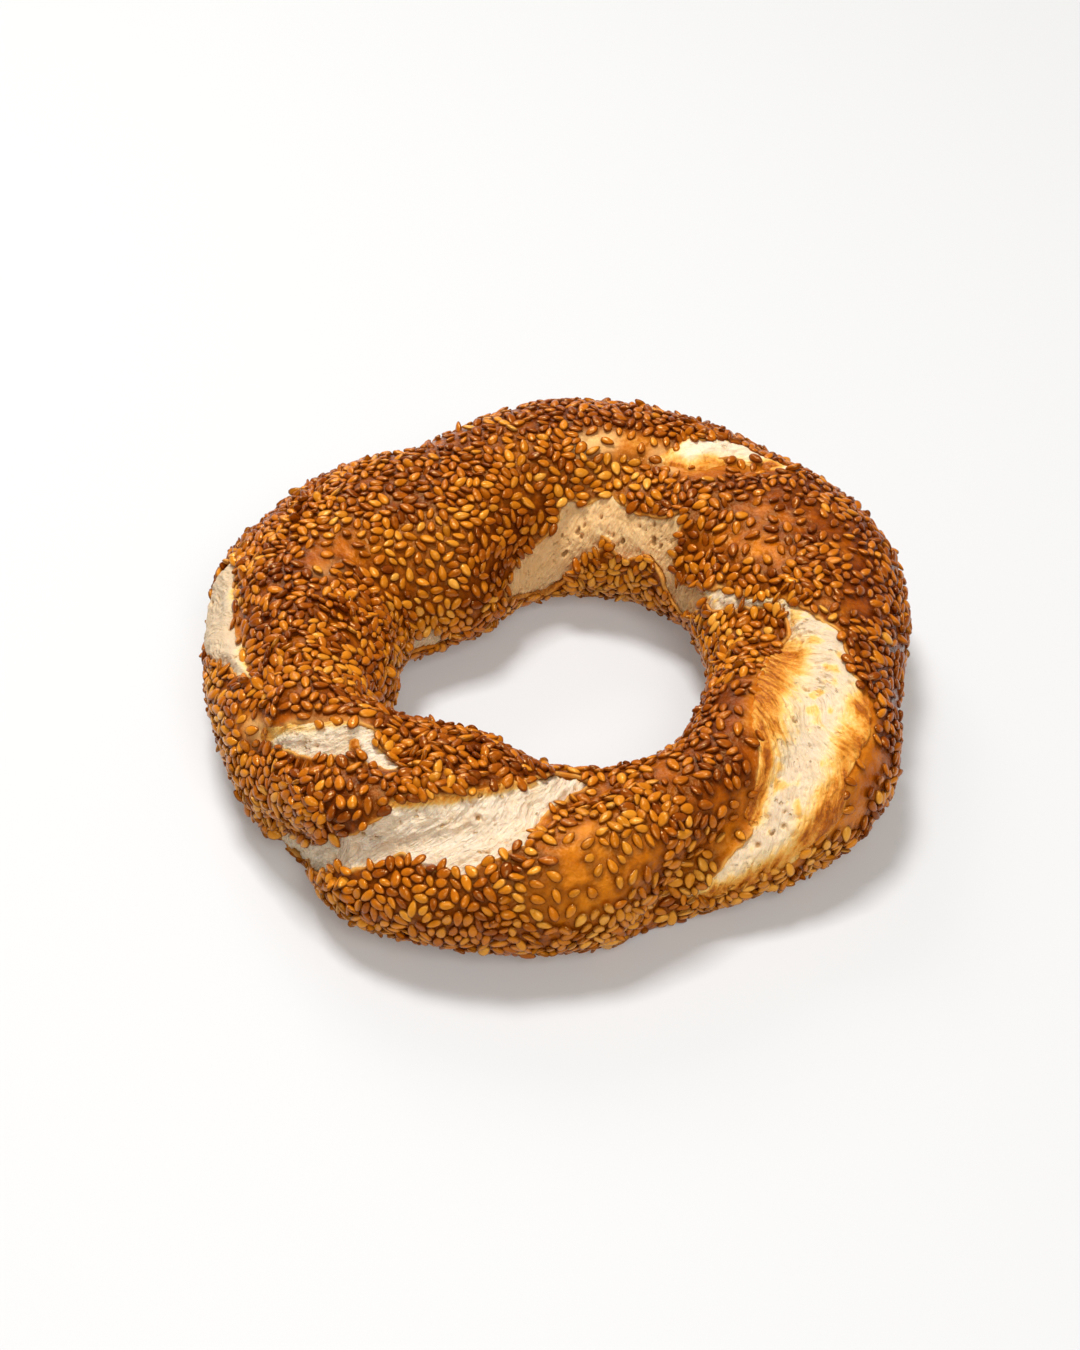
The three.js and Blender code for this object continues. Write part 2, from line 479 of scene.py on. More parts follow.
def halve_long_edges(places, faces, longest, wanted, keep_rim=False):
    """Halves edges that are longer than that many mm where wanted says so."""
    points, _, _, torn = read_surface(places)
    edges, face_edges = edges_of(faces)
    length = np.linalg.norm(points[edges[:, 0]] - points[edges[:, 1]], axis=1)
    chosen = (length > longest) & wanted(torn[edges].min(1), torn[edges].max(1))
    if keep_rim:
        chosen &= faces_beside(face_edges) == 2
    return cut_edges(places, faces, edges, face_edges, chosen, np.full(len(edges), 0.5))


# %% The even net
NET_TURNS = 540
NET_SIDE = 110  # rows round the rope's sides and top
NET_UNDER = 8  # rows across the flat underside
UNDER_FROM, UNDER_TO = 242, 298  # degrees around, the flat underside
side_rows = np.linspace(UNDER_TO - 360, UNDER_FROM, NET_SIDE, endpoint=False)
under_rows = np.linspace(UNDER_FROM, UNDER_TO, NET_UNDER, endpoint=False)
rows = np.concatenate([side_rows, under_rows])
columns = np.arange(NET_TURNS) * 360 / NET_TURNS
net_places = np.stack(np.meshgrid(columns, rows, indexing="ij"), -1).reshape(-1, 2)
column_number, row_number = np.meshgrid(np.arange(NET_TURNS), np.arange(len(rows)), indexing="ij")


def net_vertex(columns_on, rows_on):
    """Numbers of the net's vertices, some columns and rows further on."""
    column = (column_number + columns_on) % NET_TURNS
    row = (row_number + rows_on) % len(rows)
    return (column * len(rows) + row).ravel()


def two_triangles(a, b, c, d):
    """Both triangles of each four-sided cell, from the numbers of its corners."""
    return np.concatenate([np.stack([a, b, c], 1), np.stack([a, c, d], 1)])


net_faces = two_triangles(net_vertex(0, 0), net_vertex(1, 0), net_vertex(1, 1), net_vertex(0, 1))
print("net:", len(net_places), "vertices,", len(net_faces), "triangles")

# %% Fine net near the tears, cut along their edges
FINE_BAND = 1.2  # mm to either side of a tear's edge
FINE_EDGE = 0.75  # mm
FINE_ROUNDS = 2
CUT_FROM, CUT_TO = 0.12, 0.88  # an edge isn't cut nearer to its ends, so no sliver forms
places, faces = net_places, net_faces
for _ in range(FINE_ROUNDS):
    places, faces = halve_long_edges(
        places, faces, FINE_EDGE, lambda low, high: (low < FINE_BAND) & (high > -FINE_BAND))
torn = read_surface(places)[3]
side = np.where(torn > 0, 1, -1)
edges, face_edges = edges_of(faces)
crossing = side[edges[:, 0]] != side[edges[:, 1]]
torn_a, torn_b = torn[edges[:, 0]], torn[edges[:, 1]]
share = np.clip(torn_a / np.where(crossing, torn_a - torn_b, 1), CUT_FROM, CUT_TO)
places, faces = cut_edges(places, faces, edges, face_edges, crossing, share)
side = np.concatenate([side, np.zeros(crossing.sum(), int)])
face_side = np.sign(side[faces].sum(1))
print("cut net:", len(places), "vertices,", len(faces), "triangles,", crossing.sum(), "on the edge")

# %% [markdown]
# ## The crust
# The crust is one closed body. Outside the tears it is the loaf's skin, a little below the solid
# so that the seeds come up to it. Inside a tear it drops to a floor under the crumb. Along each
# tear the two are joined by a wall with a rounded lip that overhangs, because a crust that lifts
# off its dough leaves a thin dark gap under its edge.

# %% Toasted rims
TOASTED = [  # a stroke's places on the loaf, its reach in mm, its strength
    ([(352, 112), (338, 111), (328, 104), (322, 95)], 5.5, 1),
    ([(322, 95), (317, 78), (312, 56), (308, 36)], 1.8, 0.9),
    ([(340, 47), (332, 43), (326, 36), (322, 27), (318, 17), (314, 7)], 4.6, 1),
    ([(314, 7), (309, -2), (303, -10), (297, -16)], 3.4, 0.9),
    ([(240, 62), (249, 76), (257, 94), (264, 112)], 1.2, 0.75),
    ([(203, 38), (208, 46), (214, 68), (220, 92)], 1.5, 0.6),
    ([(200, 32), (206, 38)], 3.4, 1),
    ([(163, 42), (172, 46), (182, 48), (192, 54)], 1.6, 0.6),
    ([(66, 101), (62, 103), (58, 84), (50, 62)], 2.6, 0.9),
    ([(81, 101), (75, 97), (69, 93)], 3.6, 0.9),
]
toast_table = stroke_table(TOASTED)
print("share of the surface that toasting reaches:", average(toast_table > 0))

# %% How high the crust lies
SEED_ROOM = 0.8  # mm from the solid's surface down to the crust
UNDER_LIFT = 0.35  # mm from the tray up to the crust
CRUST_LUMPS = ((9, 0.35, 31), (4, 0.2, 32), (1.6, 0.08, 33))  # size and height in mm, seed
LIP_REACH = 2.6  # mm from a tear within which the crust curls up
CURL = 0.35  # mm
CURL_CHANGE = ((7, 0.4, 34),)  # along a tear: size and height in mm, seed
TOASTED_DROP = 0.7  # mm that a toasted rim sinks, so that it runs into the crumb
TRAY_FROM, TRAY_TO = 2.5, 0.2  # mm above the tray between which the crust goes flat


def on_the_tray(points):
    """1 where the loaf lies on the tray, 0 where it stands free."""
    return ease(points[:, 2], TRAY_FROM, TRAY_TO)


def crust_level(points, torn, toast):
    """Millimetres from the solid's surface to the crust, negative inwards."""
    curl = (CURL + layered(points, CURL_CHANGE)) * (1 - toast) - TOASTED_DROP * toast
    curl = curl * ease(torn, -LIP_REACH, 0)
    under = on_the_tray(points)
    free = 1 - under
    return -SEED_ROOM * free - UNDER_LIFT * under + (layered(points, CRUST_LUMPS) + curl) * free


# %% Crust vertices
LIP = [(0.0, 0.0), (0.24, -0.22), (0.18, -0.7), (-0.4, -1.0)]  # into the tear, up, in mm
FLOOR_DEPTH = 5.2  # mm
FLOOR_UNDER = 0.5  # mm that the floor reaches out under the lip
TURN_SLOPE_STEP, AROUND_SLOPE_STEP = 0.35, 1.05  # degrees, for the slope of the tear depth


def into_tear(places, normals, turnwise, points):
    """The direction along the surface in which a place gets deeper into the tear."""
    reach = np.linalg.norm(points[:, :2] - ring_shift[:2], axis=1)
    ahead, behind = places + [TURN_SLOPE_STEP, 0], places - [TURN_SLOPE_STEP, 0]
    above, below = places + [0, AROUND_SLOPE_STEP], places - [0, AROUND_SLOPE_STEP]
    slope_turn = (look_up(torn_table, *ahead.T) - look_up(torn_table, *behind.T))
    slope_around = (look_up(torn_table, *above.T) - look_up(torn_table, *below.T))
    slope_turn /= np.radians(2 * TURN_SLOPE_STEP) * reach
    slope_around /= np.radians(2 * AROUND_SLOPE_STEP) * ROPE_RADIUS
    aroundwise = np.cross(normals, turnwise)
    return unit(turnwise * slope_turn[:, None] + aroundwise * slope_around[:, None])


points, normals, turnwise, torn = read_surface(places)
torn[side == 0] = 0
crust_toast = look_up(toast_table, *places.T)
level = crust_level(points, torn, crust_toast)
top = points + normals * level[:, None]
rim = np.flatnonzero(side == 0)
rim_in = into_tear(places[rim], normals[rim], turnwise[rim], points[rim])
rings = [top[rim] + rim_in * into + normals[rim] * up for into, up in LIP]
floor_ring = points[rim] - rim_in * FLOOR_UNDER - normals[rim] * FLOOR_DEPTH
vertices = np.where((side > 0)[:, None], points - normals * FLOOR_DEPTH, top)
vertices[rim] = rings[0]
crust_vertices = np.concatenate([vertices, *rings[1:], floor_ring])
rim_number = np.full(len(places), -1)
rim_number[rim] = np.arange(len(rim))
print("rim vertices:", len(rim))


# %% Crust faces and the walls of the tears
def ring_vertex(vertex, ring):
    """Number of a rim vertex's copy on one of the wall's rings."""
    return vertex if ring == 0 else len(places) + (ring - 1) * len(rim) + rim_number[vertex]


outer_faces, torn_faces = faces[face_side < 0], faces[face_side > 0]
floor_faces = np.where(side[torn_faces] == 0, ring_vertex(torn_faces, len(LIP)), torn_faces)
starts, ends = outer_faces.ravel(), np.roll(outer_faces, -1, 1).ravel()
both_rim = (side[starts] == 0) & (side[ends] == 0)
torn_starts, torn_ends = torn_faces.ravel(), np.roll(torn_faces, -1, 1).ravel()
wide = len(places) + 1  # makes one number of an edge's two
shared = np.isin(starts * wide + ends, torn_ends * wide + torn_starts) & both_rim
wall_a, wall_b = starts[shared], ends[shared]
walls = []
for ring in range(len(LIP)):
    upper_a, upper_b = ring_vertex(wall_a, ring), ring_vertex(wall_b, ring)
    lower_a, lower_b = ring_vertex(wall_a, ring + 1), ring_vertex(wall_b, ring + 1)
    walls.append(two_triangles(upper_b, upper_a, lower_a, lower_b))
crust_faces = np.concatenate([outer_faces, floor_faces, *walls])
print("crust:", len(crust_vertices), "vertices,", len(crust_faces), "triangles")


# %% Make a mesh object
def mesh_of_points(name, points_mm):
    """A mesh in metres that has nothing but its vertices yet."""
    mesh = bpy.data.meshes.new(name)
    mesh.vertices.add(len(points_mm))
    mesh.vertices.foreach_set("co", (points_mm * MM).astype(np.float32).ravel())
    return mesh


def in_scene(name, data):
    """A new object in the scene, made of a mesh, a camera or a lamp."""
    made = bpy.data.objects.new(name, data)
    bpy.context.scene.collection.objects.link(made)
    return made


def make_object(name, vertices_mm, faces):
    """A smooth mesh object in metres with its place in its mesh."""
    mesh = mesh_of_points(name, vertices_mm)
    mesh.loops.add(faces.size)
    mesh.loops.foreach_set("vertex_index", faces.astype(np.int32).ravel())
    mesh.polygons.add(len(faces))
    mesh.polygons.foreach_set("loop_start", np.arange(0, faces.size, 3, dtype=np.int32))
    mesh.update(calc_edges=True)
    mesh.shade_smooth()
    return in_scene(name, mesh)


def give_values(made, name, values):
    """Stores one number at each vertex under a name that a material can read."""
    made.data.attributes.new(name, "FLOAT", "POINT").data.foreach_set(
        "value", np.asarray(values, np.float32))


def edges_not_shared(faces):
    """How many edges don't have exactly two faces: 0 for a closed body."""
    _, face_edges = edges_of(faces)
    return int((faces_beside(face_edges) != 2).sum())


crust = make_object("crust", crust_vertices, crust_faces)
print("crust's open edges:", edges_not_shared(crust_faces))

# %% [markdown]
# A baked texture needs a flat map where no two faces share a place. The crust is unrolled by its
# own two angles: one half of the ring below, the other half above it, and the walls of the tears
# beside their rims. An automatic unwrap would cut this bumpy skin into thousands of scraps.

# %% Flat map of the crust
MAP_MARGIN = 0.01
MAP_START = UNDER_TO - 360  # the angle at which the unrolled rope is cut, under the ring
WALL_ON_MAP = 0.15  # mm of the map that each ring of a tear's wall gets


def give_map(made, name, corners):
    """A UV map from one place for each corner of each face."""
    layer = made.data.uv_layers.new(name=name)
    layer.uv.foreach_set("vector", corners.astype(np.float32).ravel())


rim_round = np.cross(normals[rim], turnwise[rim])
rim_slide = np.stack([
    (rim_in * turnwise[rim]).sum(1) / look_up(turn_step, *places[rim].T),
    (rim_in * rim_round).sum(1) / look_up(around_step, *places[rim].T)], 1)
wall_places = [places[rim] + rim_slide * WALL_ON_MAP * ring for ring in range(1, len(LIP) + 1)]
corners = np.concatenate([places, *wall_places])[crust_faces] - [0, MAP_START]
corners = corners[:, :1] + wrapped(corners - corners[:, :1])
corners -= 360 * np.floor(corners.mean(1, keepdims=True) / 360)
half = (corners[:, :1, 0].mean(1, keepdims=True) >= 180).astype(int)
across = MAP_MARGIN + (1 - 2 * MAP_MARGIN) * (corners[:, :, 0] / 180 - half)
along = MAP_MARGIN + (1 - 3 * MAP_MARGIN) * (corners[:, :, 1] / 360 + half) / 2 + MAP_MARGIN * half
give_map(crust, "OFBake", np.stack([across, along], -1))
print("crust's map:", span(across), "across and", span(along), "along")

# %% [markdown]
# ## How brown each place is
# The oven browns what stands up into it: the top of the ring and the crests between the folds
# go dark, and the low outer rim stays golden. Where a tear stretched the crust thin it is pale,
# and a few torn rims caught the heat and toasted.

# %% Scorched, golden and pale strokes
SCORCHED = [
    ([(130, 95), (125, 93)], 11, 0.6), ([(60, 80), (74, 84), (90, 79)], 10, 0.6),
    ([(44, 88), (37, 86), (26, 77), (13, 56), (5, 22), (353, 8)], 13, 0.64),
    ([(327, 118), (311, 98), (303, 78)], 9, 0.8), ([(230, 130), (249, 115), (264, 135)], 8, 0.8),
    ([(160, 89), (186, 66)], 12, 0.5), ([(350, 32), (338, 26), (326, 8)], 9, 0.7),
]
GOLDEN = [
    ([(301, -16), (312, -12), (322, -3)], 9, 0.7), ([(60, 184), (78, 210), (89, 225)], 11, 0.7),
    ([(188, 13), (204, -3), (214, -30), (233, -21)], 12, 0.45), ([(111, 173), (119, 150)], 11, 0.15),
    ([(272, 66), (276, 40), (274, 24)], 11, 0.8), ([(29, 169), (359, 157)], 7, 0.5),
    ([(145, 158), (143, 192)], 11, 0.3), ([(71, 122), (78, 119)], 7, 0.7),
]
PALE = [  # skin that was stretched thin before it set
    ([(85, 105), (80, 101)], 3, 1), ([(69, 97), (66, 103)], 2.4, 0.7),
    ([(203, 34), (207, 38)], 2.6, 0.7), ([(212, 62), (222, 95)], 1.6, 0.5),
    ([(162, 101), (158, 108)], 2.5, 0.25), ([(226, -14), (230, -6)], 2, 0.5),
]
HEAT_SPREAD, PALE_SPREAD = 1.5, 1.6  # how much wider than its reach a stroke fades out
heat_table = stroke_table(SCORCHED, HEAT_SPREAD, 0) - stroke_table(GOLDEN, HEAT_SPREAD, 0)
pale_table = stroke_table(PALE, PALE_SPREAD, 0)
print("heat:", span(heat_table))

# %% Browning
BROWN_LOW = 0.38
BROWN_BY_HEIGHT = 0.2
BROWN_FROM, BROWN_TO = 2, 30  # mm above the tray
BROWN_BY_HEAT = 0.34
BROWN_PATCHES = ((22, 0.14, 41), (8, 0.14, 42), (3, 0.1, 43))
EDGE_REACH = 0.9  # mm from a tear within which the crust shows its torn edge


def browning(places, points):
    """0 for pale gold, 1 for the darkest crust."""
    brown = BROWN_LOW + BROWN_BY_HEIGHT * ease(points[:, 2], BROWN_FROM, BROWN_TO)
    brown += BROWN_BY_HEAT * look_up(heat_table, *places.T)
    return np.clip(brown + layered(points, BROWN_PATCHES), 0, 1)


def give_crust_values(name, values):
    """One number at each place of the crust. The walls take the number at their rim."""
    give_values(crust, name, np.concatenate([values, *[values[rim]] * len(LIP)]))


crust_brown = browning(places, points)
give_crust_values("browning", crust_brown)
give_crust_values("toast", crust_toast)
give_crust_values("edge", np.where(side == 0, 1, ease(torn, -EDGE_REACH, 0)))
give_crust_values("pale", look_up(pale_table, *places.T))
print("mean browning of the crust:", average(crust_brown))

# %% [markdown]
# ## The crumb
# The crumb is what the tear pulled open: a pale web with strands that run the way the dough was
# drawn, and pores where bubbles were cut. It is built as a closed body of its own under each
# tear, from the same net cut much finer on its top, and it runs on a little under the crust.

# %% Net of the crumb
CRUMB_MARGIN = 1.5  # mm that the crumb runs on under the crust
CRUMB_ROUNDS = 4
CRUMB_FINE_FROM = -0.7  # mm inside a tear from which its net is cut fine
FINEST_CRUMB = 0.435  # mm
net_torn = read_surface(net_places)[3]
under_tear = net_torn[net_faces].max(1) > -CRUMB_MARGIN
for _ in range(CRUMB_ROUNDS):  # two parts of a patch that meet in one vertex are joined by faces
    patch = net_faces[under_tear]
    edges, face_edges = edges_of(patch)
    border = faces_beside(face_edges) == 1
    ends = np.bincount(edges[border].ravel(), minlength=len(net_places))
    under_tear |= (ends > 2)[net_faces].any(1)
patch = net_faces[under_tear]
used, patch = np.unique(patch, return_inverse=True)
patch = patch.reshape(-1, 3)
base_places = net_places[used]
crumb_places, crumb_top = base_places, patch
for _ in range(CRUMB_ROUNDS):
    crumb_places, crumb_top = halve_long_edges(
        crumb_places, crumb_top, FINEST_CRUMB, lambda low, high: high > CRUMB_FINE_FROM,
        keep_rim=True)
print("crumb's top:", len(crumb_places), "vertices,", len(crumb_top), "triangles")

# %% Level of the crumb in each tear
CRUMB_SHAPE = {  # depth mid-tear and at its edge in mm, boldness of the strands, tan, and painted shade that darkens the tear's cream
    "right": (0.1, 0.9, 0.65, 0.2, 0.58), "front": (1.5, 1.5, 1.2, 0.05, 0.1),
    "left_front": (1.0, 1.3, 1.3, 0.1, 0), "left": (-0.5, 0.8, 0.25, 0.5, 0.9),
    "inner_left": (1.2, 1.3, 0.8, 0.5, 0.1), "back": (-0.4, 0.6, 0.4, 0.1, 0.1),
    "hole": (1.7, 1.4, 0.6, 0.95, 0),
}
MIDDLE_FROM, MIDDLE_TO = -0.4, 3.2  # mm inside a tear
TOAST_DEPTH = 0.5  # mm, where a toasted rim runs into the crumb
TUCK = 1.3  # mm that the crumb drops to pass under the crust
TUCK_FROM, TUCK_TO = 0.15, -0.8  # mm inside a tear
TOASTED_FROM, TOASTED_TO = 0.9, 0.6  # mm further out at a toasted rim

points, normals, turnwise, torn = read_surface(crumb_places)
which = nearest_tear(*crumb_places.T)
shape_of_tear = np.array([CRUMB_SHAPE[name] for name in TEARS])
middle_depth, edge_depth, strands, tan, dim = shape_of_tear[which].T
toast = look_up(toast_table, *crumb_places.T)
to_middle = ease(torn, MIDDLE_FROM, MIDDLE_TO)
level = -(edge_depth * (1 - to_middle) + middle_depth * to_middle)
level = level * (1 - toast) - TOAST_DEPTH * toast
level -= TUCK * ease(torn, TUCK_FROM - TOASTED_FROM * toast, TUCK_TO - TOASTED_TO * toast)
print("crumb before its relief:", span(level), "mm above the solid's surface")

# %% [markdown]
# ### Strands and pores
# When a rope of dough is pulled apart its bubbles stretch into tubes and the walls between them
# into threads. Modelling the bubbles as holes would take millions of faces. Noise that is squeezed
# across the strands and stretched along them raises the same threads on a surface.
#
# The largest pores are listed one by one, because the eye remembers those. The rest come from a
# seeded draw, nearly all of them small.

# %% Strands of the crumb
STRAND_ANGLE = 57  # degrees from the ring's direction
MEAN_REACH = 62  # mm from the ring's axis to a tear, on average
TEARS_APART = 5  # cells of noise, so that each tear has strands of its own
WANDER = ((9, 2.2, 51), (3.5, 0.5, 64))
WEB = (0.3, 8, 2.4, 52)  # height, length and width in mm, seed
THREADS = ((0.24, 6, 1.0, 53), (0.14, 4, 0.6, 57))
THREAD_FALL, THREAD_POWER = 2.2, 0.7  # how far and how sharply a thread falls off sideways
BOLD_LUMPS = ((2.3, 0.16, 58),)
CRUMB_LUMPS = ((1.1, 0.14, 54), (5, 0.35, 55))

flat_x, flat_y = (np.radians(crumb_places) * [MEAN_REACH, ROPE_RADIUS]).T
strand_cos, strand_sin = math.cos(math.radians(STRAND_ANGLE)), math.sin(math.radians(STRAND_ANGLE))
lengthways = flat_x * strand_cos + flat_y * strand_sin
crossways = flat_y * strand_cos - flat_x * strand_sin + layered(points, WANDER)


def strand_noise(length, width, seed):
    """Noise stretched along the strands."""
    cells = np.stack([lengthways / length, crossways / width, which * TEARS_APART], 1)
    return noise(cells, 1, seed)


relief = WEB[0] * strand_noise(*WEB[1:]) + layered(points, BOLD_LUMPS)
for height, length, width, seed in THREADS:
    away = np.abs(strand_noise(length, width, seed)) ** THREAD_POWER
    relief += height * (1 - THREAD_FALL * away)
relief = relief * strands + layered(points, CRUMB_LUMPS)
print("relief of the crumb:", span(relief), "mm")

# %% Largest pores
LARGE_PORES = [  # turn, around and radius in mm
    (88, 178, 0.85), (85, 162, 0.9), (84, 165, 0.7), (91, 185, 0.5), (89, 164, 0.55), (79, 151, 0.7),
    (72, 164, 0.8), (63, 157, 1.0), (60, 158, 0.8), (47, 184, 0.5), (50, 175, 0.8), (75, 162, 0.6),
    (94, 200, 0.55), (66, 167, 0.6), (329, 84, 0.8), (341, 88, 0.75), (357, 98, 0.5), (346, 78, 0.5),
    (345, 80, 0.45), (310, 34, 0.5), (314, 25, 0.5), (312, 17, 0.6), (331, 92, 0.5), (325, 80, 0.45),
    (325, 47, 0.35), (319, 36, 0.3), (318, 52, 0.35), (317, 59, 0.35), (309, 21, 0.8), (306, 16, 0.6),
    (236, 32, 0.6), (238, 34, 0.6), (231, 6, 0.5), (254, 86, 0.5), (242, 52, 0.45), (238, 54, 0.6),
]
large_at = [
    np.abs(wrapped(crumb_places - [turn, around])).sum(1).argmin() for turn, around, _ in LARGE_PORES]
print("large pores:", len(large_at))

# %% All pores
PORE_COUNT = 560
PORE_FROM = 0.5  # mm inside a tear
SMALLEST_PORE, PORE_SPAN = 0.28, 0.5  # mm
PORE_SKEW = 5  # a power that keeps most pores small
PORE_PLAIN, PORE_BOLD = 0.75, 0.15  # a pore's size in a calm tear, and more with bold strands
PORE_STRETCH = 1.5  # along the strands
PORE_RAGS = ((0.8, 0.45, 59),)
PORE_RIM = 1.5  # radii from its middle that a ragged pore can reach
PORE_REACH = 4  # mm past which a pore has no say
PORE_ROUNDING = 1.2  # a power that shapes a pore's side
PORE_DRAWS_SEED = 5

inside = np.flatnonzero(torn > PORE_FROM)
pore_rng = np.random.default_rng(PORE_DRAWS_SEED)
pore_at = pore_rng.choice(inside, PORE_COUNT)
pore_radius = SMALLEST_PORE + PORE_SPAN * pore_rng.random(PORE_COUNT) ** PORE_SKEW
pore_radius *= PORE_PLAIN + PORE_BOLD * strands[pore_at]
pore_at = np.concatenate([large_at, pore_at])
pore_radius = np.concatenate([[radius for _, _, radius in LARGE_PORES], pore_radius])
pore = np.zeros(len(points))
ragged = layered(points, PORE_RAGS)
for centre, radius in zip(pore_at, pore_radius):
    along = (lengthways - lengthways[centre]) / PORE_STRETCH
    across = crossways - crossways[centre]
    close = np.hypot(along, across) < PORE_RIM * radius
    close &= np.abs(points - points[centre]).max(1) < PORE_REACH
    share = np.hypot(along[close], across[close]) / radius + ragged[close]
    pore[close] = np.maximum(
        pore[close], radius * np.clip(1 - share**2, 0, 1) ** PORE_ROUNDING)
print("share of the crumb that is pores:", average(pore > 0))

# %% Height of the crumb
PORE_DIG = 1.1  # a pore's depth in radii
DIG_FROM, DIG_TO = -0.2, 0.8  # mm inside a tear
QUIET_FROM, QUIET_TO = -0.9, 0.4  # mm inside a tear
QUIET_TOASTED = 0.55  # how much flatter the crumb lies where it toasted
LOWEST, HIGHEST = -4.6, 1.5  # mm above the solid's surface
relief -= PORE_DIG * pore * ease(torn, DIG_FROM, DIG_TO)
rising = ease(torn, QUIET_FROM, QUIET_TO) * (1 - QUIET_TOASTED * toast)
crumb_level = np.clip(level + relief * rising, LOWEST, HIGHEST)
print("crumb:", span(crumb_level), "mm above the solid's surface")

# %% Close the crumb
CRUMB_THICKNESS = 4.9  # mm
crumb_upper = points + normals * crumb_level[:, None]
base_points, base_normals, _, _ = read_surface(base_places)
crumb_lower = base_points - base_normals * CRUMB_THICKNESS
lower_start = len(crumb_places)
edges, face_edges = edges_of(patch)
border = faces_beside(face_edges) == 1
starts, ends = patch.ravel(), np.roll(patch, -1, 1).ravel()
on_border = border[face_edges.ravel()]
wall_a, wall_b = starts[on_border], ends[on_border]
crumb_faces = np.concatenate([
    crumb_top,
    patch[:, ::-1] + lower_start,
    two_triangles(wall_b, wall_a, wall_a + lower_start, wall_b + lower_start)])
crumb = make_object("crumb", np.concatenate([crumb_upper, crumb_lower]), crumb_faces)
print("crumb:", len(crumb_faces), "triangles, open edges:", edges_not_shared(crumb_faces))

# %% How toasted the crumb is
MOTTLES = ((4.5, 0.6, 62), (1.8, 0.4, 63))
STREAKS = (4, 1.0, 56)
EDGE_TOAST, EDGE_TOAST_FROM = 0.35, 1.2  # strength, and mm inside a tear
EDGE_EVEN, EDGE_STREAKY = 0.7, 0.5
TOAST_SPREAD = 1.9  # how much wider than the toasted rims their warmth reaches
WARM_EVEN, WARM_MOTTLED, WARM_STREAKY = 0.72, 0.55, 0.25
RIM_WARMTH = 0.25  # what a toasted rim adds
FLECKS = 0.42  # strength of the golden flecks in the middle of the large tear
FLECK_STREAKS = 0.25
FLECK_FROM, FLECK_TO = 0.05, 0.5  # noise between which the flecks come in
streaks = strand_noise(*STREAKS)
mottles = layered(points, MOTTLES)
edge_toast = EDGE_TOAST * ease(torn, EDGE_TOAST_FROM, 0) * (EDGE_EVEN + EDGE_STREAKY * streaks)
spread = look_up(stroke_table(TOASTED, TOAST_SPREAD, 0), *crumb_places.T)
flecks = FLECKS * ease(mottles + FLECK_STREAKS * streaks, FLECK_FROM, FLECK_TO)
flecks = flecks * (which == list(TEARS).index("right"))
warm = spread * (WARM_EVEN + WARM_MOTTLED * mottles + WARM_STREAKY * streaks) + RIM_WARMTH * toast
crumb_toast = np.clip(np.maximum(edge_toast, np.maximum(warm, flecks)), 0, 1)
print("mean toast of the crumb:", average(crumb_toast))

# %% Hand the crumb its values
PORE_SHADES = [(0.7, 0.08, 0.35), (0.6, 0.4, 0.8)]  # painted shade in the pores: strength, and mm of depth from and to
RELIEF_SHADE, CALMEST = 0.4, 0.2  # painted shade in the relief's dips, and the least that divides it
HOLLOW_START, DEEPEST_HOLLOW = 0.12, 1.2  # what still counts as flat and gets no painted shade, and the limit


def give_crumb_values(name, values):
    """One number at each place of the crumb's top. Its hidden underside takes none."""
    give_values(crumb, name, np.concatenate([values, np.zeros(len(base_places))]))


# painted shade: how much darker the crumb is drawn in its pores and dips
hollow = sum(strength * ease(pore, start, end) for strength, start, end in PORE_SHADES)
hollow -= RELIEF_SHADE * relief / (strands + CALMEST) + HOLLOW_START
give_crumb_values("hollow", np.clip(hollow, 0, DEEPEST_HOLLOW))
give_crumb_values("toast", crumb_toast)
give_crumb_values("bold", strands)
give_crumb_values("tan", tan)
give_crumb_values("dim", dim)
strand_map = np.stack([lengthways, crossways], 1)
strand_map = np.concatenate([strand_map, np.zeros((len(base_places), 2))])
give_map(crumb, "strands", strand_map[crumb_faces] * MM)
crumb_values = [entry.name for entry in crumb.data.attributes if entry.data_type == "FLOAT"]
print("the crumb's vertices carry:", ", ".join(crumb_values))

# %% [markdown]
# The crumb's flat map is laid out here too. Each tear's crumb gets a rectangle of its own, turned so
# that the rectangle is small, and the rectangles stand on shelves, the tallest first. The hidden
# underside shares one strip.

# %% Rectangles of the crumb's map
GAP_ON_MAP = 1.2  # mm between the rectangles
SHELF_LENGTH = 128  # mm
on_map = np.zeros((len(crumb_faces), 3, 2))
tear_of_face = which[crumb_top[:, 0]]
rectangles = []
for number, outline in enumerate(TEARS.values()):
    mine = np.flatnonzero(tear_of_face == number)
    middle = np.mean(unwrapped_outline(outline), 0)
    corners = wrapped(crumb_places[crumb_top[mine]] - middle) * np.radians(1)
    corners = corners * [MEAN_REACH, ROPE_RADIUS]
    axes = np.linalg.eigh(np.cov(corners.reshape(-1, 2).T))[1][:, ::-1]
    corners = corners @ (axes * [np.linalg.det(axes), 1])
    corners -= corners.min((0, 1))
    rectangles.append((corners.max((0, 1)), mine, corners))
shelf_x, shelf_y, shelf_height = 0, 0, 0
for (length, height), mine, corners in sorted(rectangles, key=lambda entry: -entry[0][1]):
    if shelf_x and shelf_x + length > SHELF_LENGTH:
        shelf_x, shelf_y, shelf_height = 0, shelf_y + shelf_height + GAP_ON_MAP, 0
    on_map[mine] = corners + [shelf_x, shelf_y]
    shelf_x += length + GAP_ON_MAP
    shelf_height = max(shelf_height, height)
shelf_y += shelf_height + GAP_ON_MAP
print("shelves reach", round(shelf_y, 1), "mm up the map")

